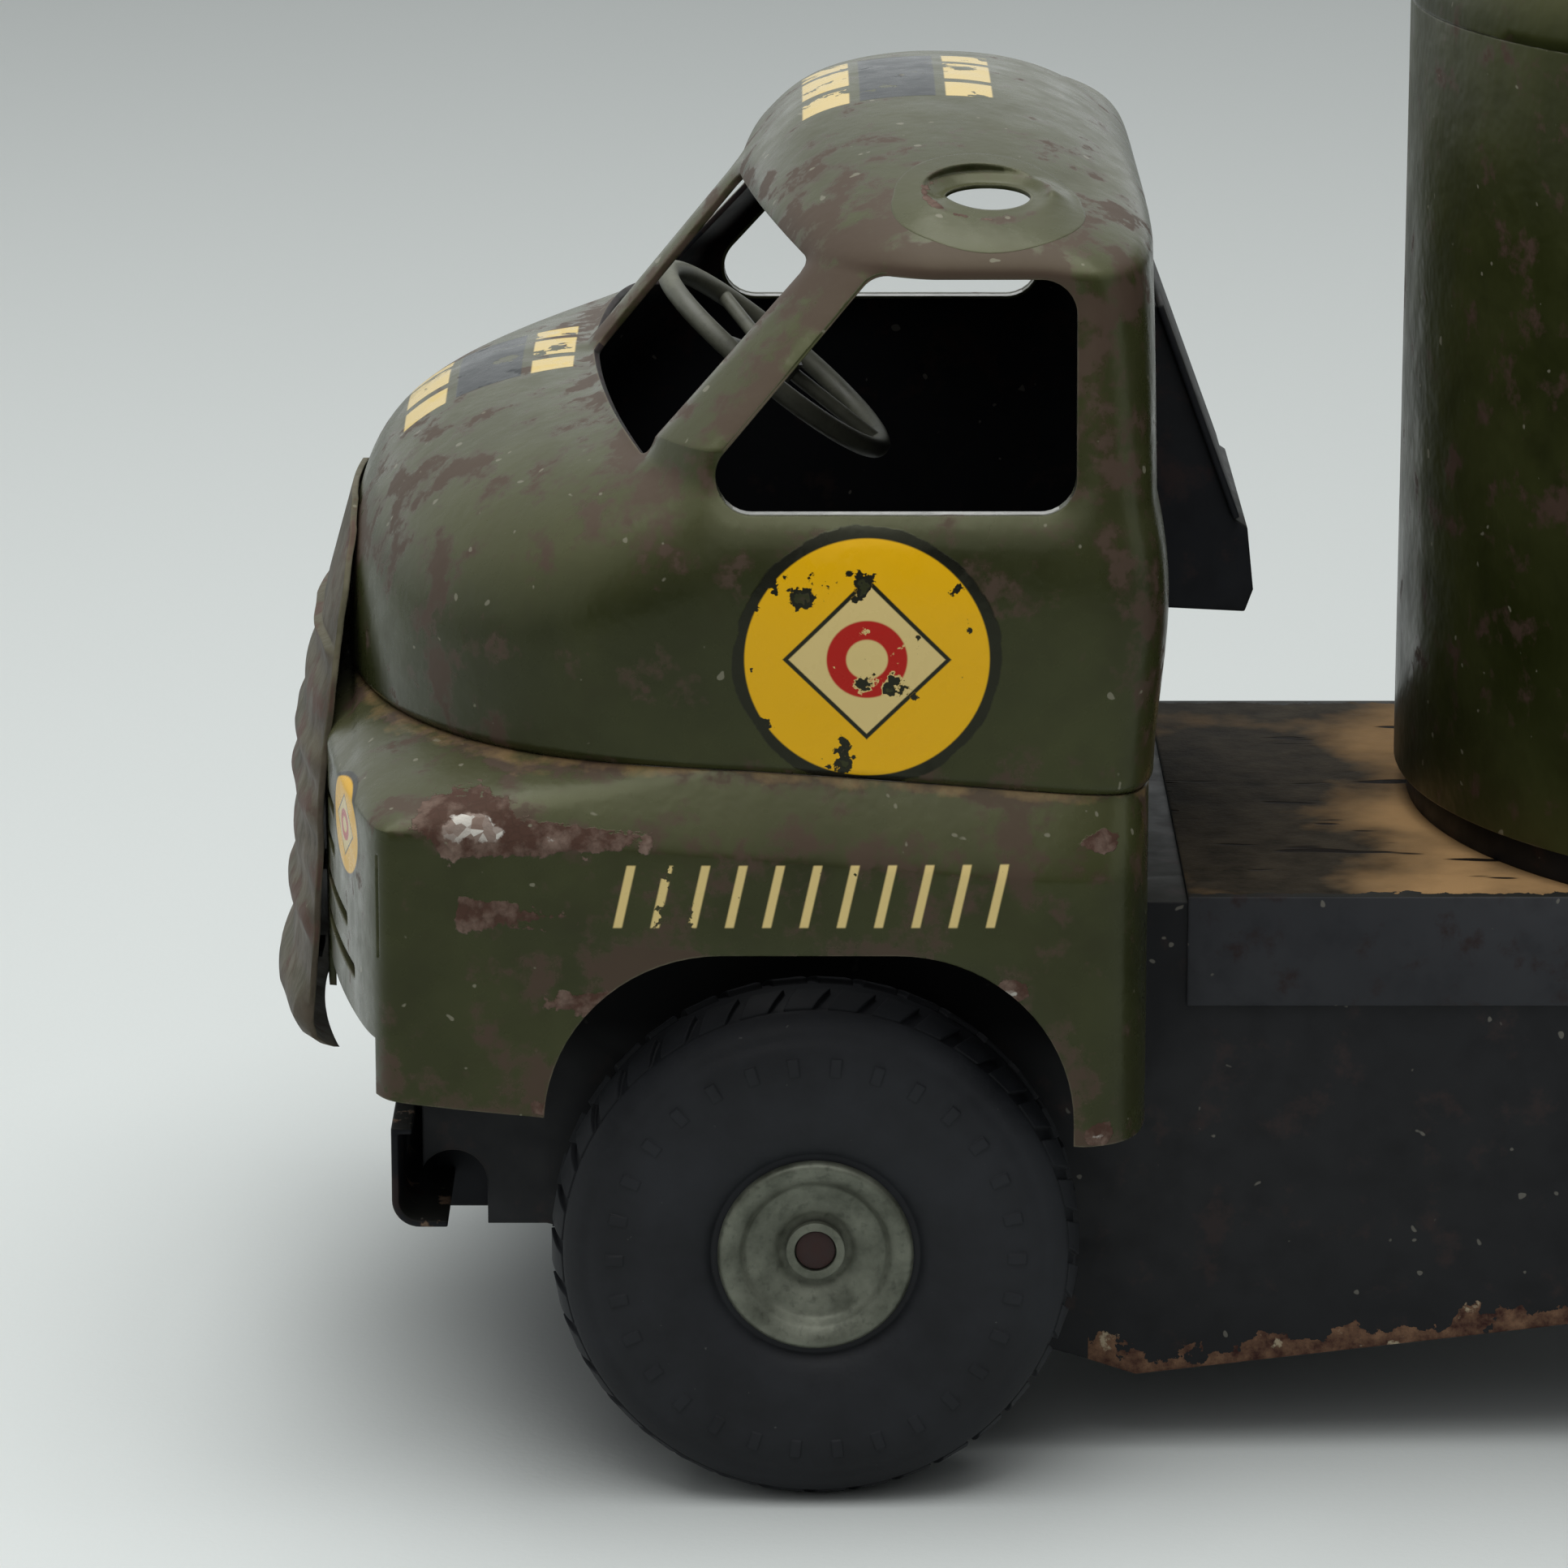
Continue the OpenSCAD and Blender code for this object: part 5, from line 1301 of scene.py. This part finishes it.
def makeTyres():
    casing = spun(tyreSection(), tyre["around"])
    lug, bar = lugMesh(), barMesh()
    # the lugs of the two sides alternate
    rings = [repeatRound("lugs", *lug, tyre["lugs"], 0.0),
             repeatRound("lugs", *acrossTheWheel(*lug), tyre["lugs"], 0.5),
             repeatRound("bars", *bar, tyre["bars"], 0.25),
             repeatRound("bars", *acrossTheWheel(*bar), tyre["bars"], 0.25)]
    for name, x, side in wheels:
        work = bmesh.new()
        mergeInto(work, *casing)
        for ring in rings:
            work.from_mesh(ring.data)
        bmesh.ops.recalc_face_normals(work, faces=work.faces)
        # each wheel has stopped at a turn of its own
        middle = Matrix.Translation(metres([(x, side * tyre["y"], tyre["radius"])])[0])
        turn = Matrix.Rotation(0.04 * x + side, 4, "Y")
        bmesh.ops.transform(work, matrix=middle @ turn @ Matrix.Scale(0.001, 4), verts=work.verts)
        mesh = bpy.data.meshes.new("tyre_" + name)
        work.to_mesh(mesh)
        work.free()
        mesh.materials.clear()
        mesh.materials.append(tyreRubber)
        piece = bpy.data.objects.new("moulded_tyre_" + name, mesh)
        bpy.context.scene.collection.objects.link(piece)
        shadeSmooth(piece, 28)
        carry(piece, name + "_wheel", "tyre_rubber", "tyre_" + name)
    for ring in rings:
        bpy.data.objects.remove(ring)


makeTyres()
print("tyres moulded")

# Hubs: dished discs with a rolled rim, as radius and distance out from the wheel's middle
hub = {
    "face": ((3.5, 5.6), (4.9, 5.6), (5.4, 5.9), (6.2, 6.5), (7.6, 6.9), (9, 7.2), (9.7, 7.3), (10.1, 7.6),
             (10.7, 8.6), (11.2, 9.1), (12, 9.5), (12.9, 9.85), (13.4, 9.85), (13.75, 9.5), (14, 9)),
    "back": ((14, 8.3), (12.3, 8.3), (11.8, 8), (11.2, 6.2), (10.2, 5.2), (3.5, 5.2)), "around": 96,
}


def makeHubs():
    points, faces = spun(hub["face"] + hub["back"], hub["around"])
    for name, x, side in wheels:
        placed = [(x + px, side * (tyre["y"] + py), tyre["radius"] + pz) for px, py, pz in points]
        disc = newPiece("pressed_hub_" + name, placed, faces, zincTin)
        outward(disc)
        shadeSmooth(disc, 50)
        carry(disc, name + "_wheel", "zinc_plate", "hub_outer_" + name)


makeHubs()
print("hubs pressed")

# Rusted bed: brown scale on top, black enamel left on the lips and flaking at the edge
bed = {
    "deep": "#1f1b14", "light": "#413a2f", "powder": "#ad8a5f", "split": "#17120e",
    "scaleMm": 7, "powderMm": 26, "splitMm": 4.5, "splitLong": 0.2,
    # the powder thins out between these distances from the tank's middle
    "topZ": 84.6, "tankX": 202, "powderReach": (130, 106), "edgeY": 59.6, "edgeWander": 9,
}


def makeBedFinish():
    material, tree, shader = newMaterial("rusted_bed_plate")
    coats = paintCoats(tree, blackLook)
    place = coats["place"]
    spot = tree.nodes.new("ShaderNodeSeparateXYZ")
    plug(tree, spot, Vector=place)
    scale = addNode(tree, "ShaderNodeTexNoise", Vector=place,
                    Scale=1000 / bed["scaleMm"], Detail=7.0, Roughness=0.66)
    powder = addNode(tree, "ShaderNodeTexNoise", Vector=place,
                     Scale=1000 / bed["powderMm"], Detail=4.0, Roughness=0.55)
    tone = addNode(tree, "ShaderNodeMapRange", Value=scale, FromMin=0.3, FromMax=0.7)
    rust = addNode(tree, "ShaderNodeMix", colourMix, 2, Factor_Float=tone,
                   A_Color=toLinear(bed["deep"]), B_Color=toLinear(bed["light"]))
    # orange powder gathers round the foot of the tank
    spread = addNode(tree, "ShaderNodeMath", minus, Value=spot.outputs["X"],
                     Value_001=(bed["tankX"] + axleX) * 0.001)
    spread = addNode(tree, "ShaderNodeMath", absolute, Value=spread)
    far, near = bed["powderReach"]
    nearTank = addNode(tree, "ShaderNodeMapRange", Value=spread, FromMin=far * 0.001, FromMax=near * 0.001,
                       ToMin=-0.2, ToMax=0.3)
    bloom = addNode(tree, "ShaderNodeMath", plus, Value=powder, Value_001=nearTank)
    bloom = addNode(tree, "ShaderNodeMapRange", Value=bloom, FromMin=0.4, FromMax=0.8, ToMax=0.9)
    rust = addNode(tree, "ShaderNodeMix", colourMix, 2, Factor_Float=bloom,
                   A_Color=rust, B_Color=toLinear(bed["powder"]))
    stretched = addNode(tree, "ShaderNodeMapping", Vector=place, Scale=(bed["splitLong"], 1.0, 1.0))
    split = addNode(tree, "ShaderNodeTexNoise", Vector=stretched, Scale=1000 / bed["splitMm"], Detail=2.0)
    splitLine = addNode(tree, "ShaderNodeMapRange", Value=split, FromMin=0.35, FromMax=0.32)
    rust = addNode(tree, "ShaderNodeMix", colourMix, 2, Factor_Float=splitLine,
                   A_Color=rust, B_Color=toLinear(bed["split"]))
    # rust only on the top, up to a wandering edge on each side
    facing = addNode(tree, "ShaderNodeNewGeometry", out="True Normal")
    up = addNode(tree, "ShaderNodeSeparateXYZ", out="Z", Vector=facing)
    up = addNode(tree, "ShaderNodeMapRange", Value=up, FromMin=0.3, FromMax=0.6)
    high = addNode(tree, "ShaderNodeMapRange", Value=spot.outputs["Z"],
                   FromMin=bed["topZ"] * 0.001 - 0.0004, FromMax=bed["topZ"] * 0.001)
    top = addNode(tree, "ShaderNodeMath", times, Value=up, Value_001=high)
    side = addNode(tree, "ShaderNodeMath", absolute, Value=spot.outputs["Y"])
    margin = addNode(tree, "ShaderNodeMath", timesPlus, Value=scale,
                     Value_001=-bed["edgeWander"] * 0.001, Value_002=bed["edgeY"] * 0.001)
    within = addNode(tree, "ShaderNodeMath", below, Value=side, Value_001=margin)
    top = addNode(tree, "ShaderNodeMath", times, Value=top, Value_001=within)
    colour = addNode(tree, "ShaderNodeMix", colourMix, 2, Factor_Float=top,
                     A_Color=coats["colour"], B_Color=rust)
    dull = addNode(tree, "ShaderNodeMath", times, Value=top, Value_001=0.72)
    roughness = addNode(tree, "ShaderNodeMath", larger, Value=coats["roughness"], Value_001=dull)
    rugged = addNode(tree, "ShaderNodeMath", times, Value=scale, Value_001=top)
    height = addNode(tree, "ShaderNodeMath", timesPlus, Value=rugged,
                     Value_001=0.5, Value_002=coats["height"])
    sunk = addNode(tree, "ShaderNodeMath", times, Value=splitLine, Value_001=top)
    height = addNode(tree, "ShaderNodeMath", timesPlus, Value=sunk, Value_001=-0.3, Value_002=height)
    bumped = addNode(tree, "ShaderNodeBump", Distance=0.001, Height=height, Normal=coats["normal"])
    plug(tree, shader, BaseColor=colour, Roughness=roughness, Normal=bumped)
    shader.inputs["Specular IOR Level"].default_value = 0.06
    return material


bedRust = makeBedFinish()

# Chassis: black enamel, with a band of flaked rust along the lower edge of its sides
chassis = {
    # the lower edge, as x and z
    "edge": ((-57, 35.3), (-39, 35.3), (38, 15), (47, 12), (110, 19.7), (190, 28), (329, 28)),
    "deep": "#351b17", "light": "#7b5d47", "cream": "#b3a68c", "soot": "#050506",
    "bandMm": 8, "bandFromX": 40, "flakeMm": 9, "toneMm": 3, "sootZ": (52, 66),
}


def makeChassisFinish():
    material, tree, shader = newMaterial("black_enamel_with_rusted_edge")
    coats = paintCoats(tree, blackLook)
    place = coats["place"]
    spot = tree.nodes.new("ShaderNodeSeparateXYZ")
    plug(tree, spot, Vector=place)
    # a ramp along the truck holds the lower edge's height, as a share of 100 mm
    low, high = chassis["edge"][0][0], chassis["edge"][-1][0]
    along = addNode(tree, "ShaderNodeMapRange", Value=spot.outputs["X"],
                    FromMin=(low + axleX) * 0.001, FromMax=(high + axleX) * 0.001)
    ramp = tree.nodes.new("ShaderNodeValToRGB")
    stops = ramp.color_ramp.elements
    while len(stops) < len(chassis["edge"]):
        stops.new(0.5)
    for stop, (x, z) in zip(stops, chassis["edge"]):
        stop.position = (x - low) / (high - low)
        stop.color = (z / 100, z / 100, z / 100, 1)
    plug(tree, ramp, Fac=along)
    edge = addNode(tree, "ShaderNodeMath", times, Value=ramp.outputs["Color"], Value_001=0.1)
    overEdge = addNode(tree, "ShaderNodeMath", minus, Value=spot.outputs["Z"], Value_001=edge)
    flakes = addNode(tree, "ShaderNodeTexNoise", Vector=place,
                     Scale=1000 / chassis["flakeMm"], Detail=6.0, Roughness=0.62)
    reach = addNode(tree, "ShaderNodeMapRange", Value=flakes, FromMin=0.36, FromMax=0.7,
                    ToMin=0.0, ToMax=chassis["bandMm"] * 0.001)
    band = addNode(tree, "ShaderNodeMath", below, Value=overEdge, Value_001=reach)
    behind = addNode(tree, "ShaderNodeMath", beyond, Value=spot.outputs["X"],
                     Value_001=(chassis["bandFromX"] + axleX) * 0.001)
    band = addNode(tree, "ShaderNodeMath", times, Value=band, Value_001=behind)
    grain = addNode(tree, "ShaderNodeTexNoise", Vector=place,
                    Scale=1000 / chassis["toneMm"], Detail=5.0, Roughness=0.65)
    tone = addNode(tree, "ShaderNodeMapRange", Value=grain, FromMin=0.36, FromMax=0.66)
    rust = addNode(tree, "ShaderNodeMix", colourMix, 2, Factor_Float=tone,
                   A_Color=toLinear(chassis["deep"]), B_Color=toLinear(chassis["light"]))
    pale = addNode(tree, "ShaderNodeMapRange", Value=flakes, FromMin=0.57, FromMax=0.6, ToMax=0.8)
    rust = addNode(tree, "ShaderNodeMix", colourMix, 2, Factor_Float=pale,
                   A_Color=rust, B_Color=toLinear(chassis["cream"]))
    colour = addNode(tree, "ShaderNodeMix", colourMix, 2, Factor_Float=band,
                     A_Color=coats["colour"], B_Color=rust)
    # painted shade under the wings: the chassis darkened almost to black inside the arches
    lowArchShade, highArchShade = chassis["sootZ"]
    archShaded = addNode(tree, "ShaderNodeMapRange", Value=spot.outputs["Z"],
                    FromMin=lowArchShade * 0.001, FromMax=highArchShade * 0.001, ToMax=0.9)
    ahead = addNode(tree, "ShaderNodeMath", minus, Value=1.0, Value_001=behind)
    archShaded = addNode(tree, "ShaderNodeMath", times, Value=archShaded, Value_001=ahead)
    colour = addNode(tree, "ShaderNodeMix", colourMix, 2, Factor_Float=archShaded,
                     A_Color=colour, B_Color=toLinear(chassis["soot"]))
    dull = addNode(tree, "ShaderNodeMath", times, Value=band, Value_001=0.8)
    roughness = addNode(tree, "ShaderNodeMath", larger, Value=coats["roughness"], Value_001=dull)
    roughness = addNode(tree, "ShaderNodeMath", larger, Value=roughness, Value_001=archShaded)
    rugged = addNode(tree, "ShaderNodeMath", times, Value=grain, Value_001=band)
    height = addNode(tree, "ShaderNodeMath", timesPlus, Value=rugged,
                     Value_001=0.6, Value_002=coats["height"])
    bumped = addNode(tree, "ShaderNodeBump", Distance=0.001, Height=height, Normal=coats["normal"])
    plug(tree, shader, BaseColor=colour, Roughness=roughness, Normal=bumped)
    shader.inputs["IOR"].default_value = blackLook["ior"]
    return material


chassisEnamel = makeChassisFinish()


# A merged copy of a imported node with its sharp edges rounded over
def softened(node, name, material, slot, width):
    work = bmesh.new()
    work.from_mesh(frame["nodes"][node].data)
    bmesh.ops.remove_doubles(work, verts=work.verts, dist=2e-6)
    bmesh.ops.dissolve_limit(work, angle_limit=math.radians(1), verts=work.verts, edges=work.edges)
    sharp = [e for e in work.edges if len(e.link_faces) == 2 and e.calc_face_angle(0) > math.radians(40)]
    if width:
        bmesh.ops.bevel(work, geom=sharp, offset=width * 0.001, segments=2, profile=0.5,
                        affect="EDGES", clamp_overlap=True)
    mesh = bpy.data.meshes.new(name)
    work.to_mesh(mesh)
    work.free()
    mesh.materials.clear()
    mesh.materials.append(material)
    piece = bpy.data.objects.new(name, mesh)
    bpy.context.scene.collection.objects.link(piece)
    setMark(piece, "wear", np.full(len(mesh.vertices), 0.12))
    shadeSmooth(piece, 30)
    return carry(piece, frame["nodes"][node]["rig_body"], slot, node)


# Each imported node's piece, finish, slot and edge width
softPieces = {
    "chassis": ("folded_chassis", chassisEnamel, "black_paint", 0.3),
    "bed_tray": ("folded_bed_tray", bedRust, "rusted_bed", 0.3),
    "cab_back": ("cab_back_panel", blackEnamel, "black_paint", 0.2),
    "rear_locker": ("folded_locker", blackEnamel, "black_paint", 0.25),
    "locker_lid": ("locker_lid_panel", blackEnamel, "black_paint", 0.25),
    "front_bumper": ("rolled_bumper", blackEnamel, "black_paint", 0.25),
    "tank_plinth": ("tank_plinth_ring", blackEnamel, "black_paint", 0.3),
    "tank_top": ("pressed_tank_top", tankEnamel, "olive_paint", 0),
    "filler_neck": ("filler_neck_collar", tankEnamel, "olive_paint", 0.2),
    "filler_lid": ("filler_lid_pressing", tankEnamel, "olive_paint", 0.25),
    "tank_wall": ("rolled_tank_wall", tankEnamel, "olive_paint", 0.25),
}
bumperChips = 0.36
for node, (name, material, slot, width) in softPieces.items():
    piece = softened(node, name, material, slot, width)
    if node == "front_bumper":
        setMark(piece, "chip", np.full(len(piece.data.vertices), bumperChips))
    if node == "bed_tray":
        # the lips and the other faces that do not look up take the lighter enamel
        piece.data.materials.append(lighterBlackEnamel)
        for face in piece.data.polygons:
            face.material_index = 0 if face.normal.z > 0.5 else 1
print("folded pieces softened")

# Black plates behind the front plate: painted shade, seen through the notches as a dark wall
shadePlates = {"outline": (-56.2, -30, 33, 84), "near": 40, "far": 41}
for name, s in (("left", -1), ("right", 1)):
    shadePlate = prism("notch_shade_plate_" + name, oblong(*shadePlates["outline"]),
                 lambda u, v, d: (u, s * d, v), shadePlates["near"], shadePlates["far"])
    shadePlate.data.materials.append(blackEnamel)
    carry(shadePlate, "truck", "black_paint")
print("stays fitted")

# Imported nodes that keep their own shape, with their finishes
hubParts = [f"hub_{part}_{name}" for part in ("inner", "tube") for name, x, side in wheels]
keptFinishes = {
    blackEnamel: ("grille_tabs", "bumper_brackets", "column_bracket", "steering_column"),
    wheelGrey: ("steering_wheel", "steering_cap"),
    rustedRod: ("front_axle", "rear_axle"),
    tankEnamel: ("tank_floor",),
    zincTin: ("axle_washers", "tank_bolts", "lid_pin", "outlet_pipe", "tap_body", "tap_key", *hubParts),
}
for material, names in keptFinishes.items():
    for name in names:
        for slot in frame["nodes"][name].material_slots:
            slot.material = material
print("packed nodes finished")

# Studio: pale floor, a wide soft lamp overhead, a weak fill from the front and a dark board behind the camera
studio = {
    "floor": "#dfe4e2", "fibreMm": 1.111, "flag": "#1c1d1f", "sky": "#dfe3e4", "skyStrength": (0.24, 1.0),
    # each lamp's place, what it points at, its size and its power, in metres and watts
    "lamps": {"overhead": ((-0.2, -0.16, 1.45), (-0.1, -0.06, 0.05), 1.7, 23.5),
              "front": ((-0.3, -1.5, 1.1), (-0.05, 0, 0.1), 1.2, 4.5)},
}


def stagePiece(name, corners, face, material):
    mesh = bpy.data.meshes.new(name)
    mesh.from_pydata(corners, [], [face])
    mesh.materials.append(material)
    piece = bpy.data.objects.new(name, mesh)
    bpy.context.scene.collection.objects.link(piece)
    return piece


def makeFloor():
    # matt paper, with a faint fibre that keeps reflections soft
    paper, tree, shader = newMaterial("pale_paper")
    place = addNode(tree, "ShaderNodeTexCoord", out="Object")
    fibre = addNode(tree, "ShaderNodeTexNoise", Vector=place, Scale=1000 / studio["fibreMm"], Detail=2.0)
    bumped = addNode(tree, "ShaderNodeBump", Distance=0.00005, Height=fibre)
    plug(tree, shader, Normal=bumped)
    shader.inputs["Base Color"].default_value = toLinear(studio["floor"])
    shader.inputs["Roughness"].default_value = 0.6
    shader.inputs["Specular IOR Level"].default_value = 0.25
    stagePiece("pale_floor", [(-6, -4, 0), (6, -4, 0), (6, 8, 0), (-6, 8, 0)], (0, 1, 2, 3), paper)


# The board keeps the sides from greying over
def makeFlag():
    cloth, tree, shader = newMaterial("black_cloth")
    shader.inputs["Base Color"].default_value = toLinear(studio["flag"])
    shader.inputs["Roughness"].default_value = 0.9
    corners = [(-3, -2, 0.02), (3, -2, 0.02), (3, -2, 2.4), (-3, -2, 2.4)]
    flag = stagePiece("dark_flag", corners, (3, 2, 1, 0), cloth)
    flag.visible_camera = False


def makeLamps():
    for name, (place, target, size, power) in studio["lamps"].items():
        lamp = bpy.data.lights.new(name, "AREA")
        lamp.shape = "SQUARE"
        lamp.size = size
        lamp.energy = power
        holder = bpy.data.objects.new(name, lamp)
        bpy.context.scene.collection.objects.link(holder)
        holder.location = place
        holder.rotation_euler = (Vector(target) - Vector(place)).to_track_quat("-Z", "Y").to_euler()


# The sky is bright where it is seen or mirrored, and weak as a light
def makeSky():
    world = bpy.data.worlds.new("studio")
    world.use_nodes = True
    bpy.context.scene.world = world
    tree = world.node_tree
    back = tree.nodes["Background"]
    back.inputs["Color"].default_value = toLinear(studio["sky"])
    path = tree.nodes.new("ShaderNodeLightPath")
    seen = path.outputs["Is Camera Ray"]
    for ray in ("Is Glossy Ray", "Is Transmission Ray"):
        seen = addNode(tree, "ShaderNodeMath", larger, Value=seen, Value_001=path.outputs[ray])
    low, high = studio["skyStrength"]
    strength = addNode(tree, "ShaderNodeMapRange", Value=seen, ToMin=low, ToMax=high)
    plug(tree, back, Strength=strength)


# Camera at the photograph's viewing angle, with its focal length as pixels of the photograph's frame
view = {"place": (-0.1315, -1.033, 0.3633), "pitch": 75, "sensorMm": 36, "focalPixels": 8700,
        "framePixels": 1932}


def makeCamera():
    lens = bpy.data.cameras.new("camera")
    lens.sensor_width = view["sensorMm"]
    lens.lens = view["focalPixels"] / view["framePixels"] * view["sensorMm"]
    camera = bpy.data.objects.new("camera", lens)
    bpy.context.scene.collection.objects.link(camera)
    camera.location = view["place"]
    camera.rotation_euler = (math.radians(view["pitch"]), 0, 0)
    bpy.context.scene.camera = camera


makeFloor()
makeFlag()
makeLamps()
makeSky()
makeCamera()
print("studio set")

bpy.context.view_layer.update()
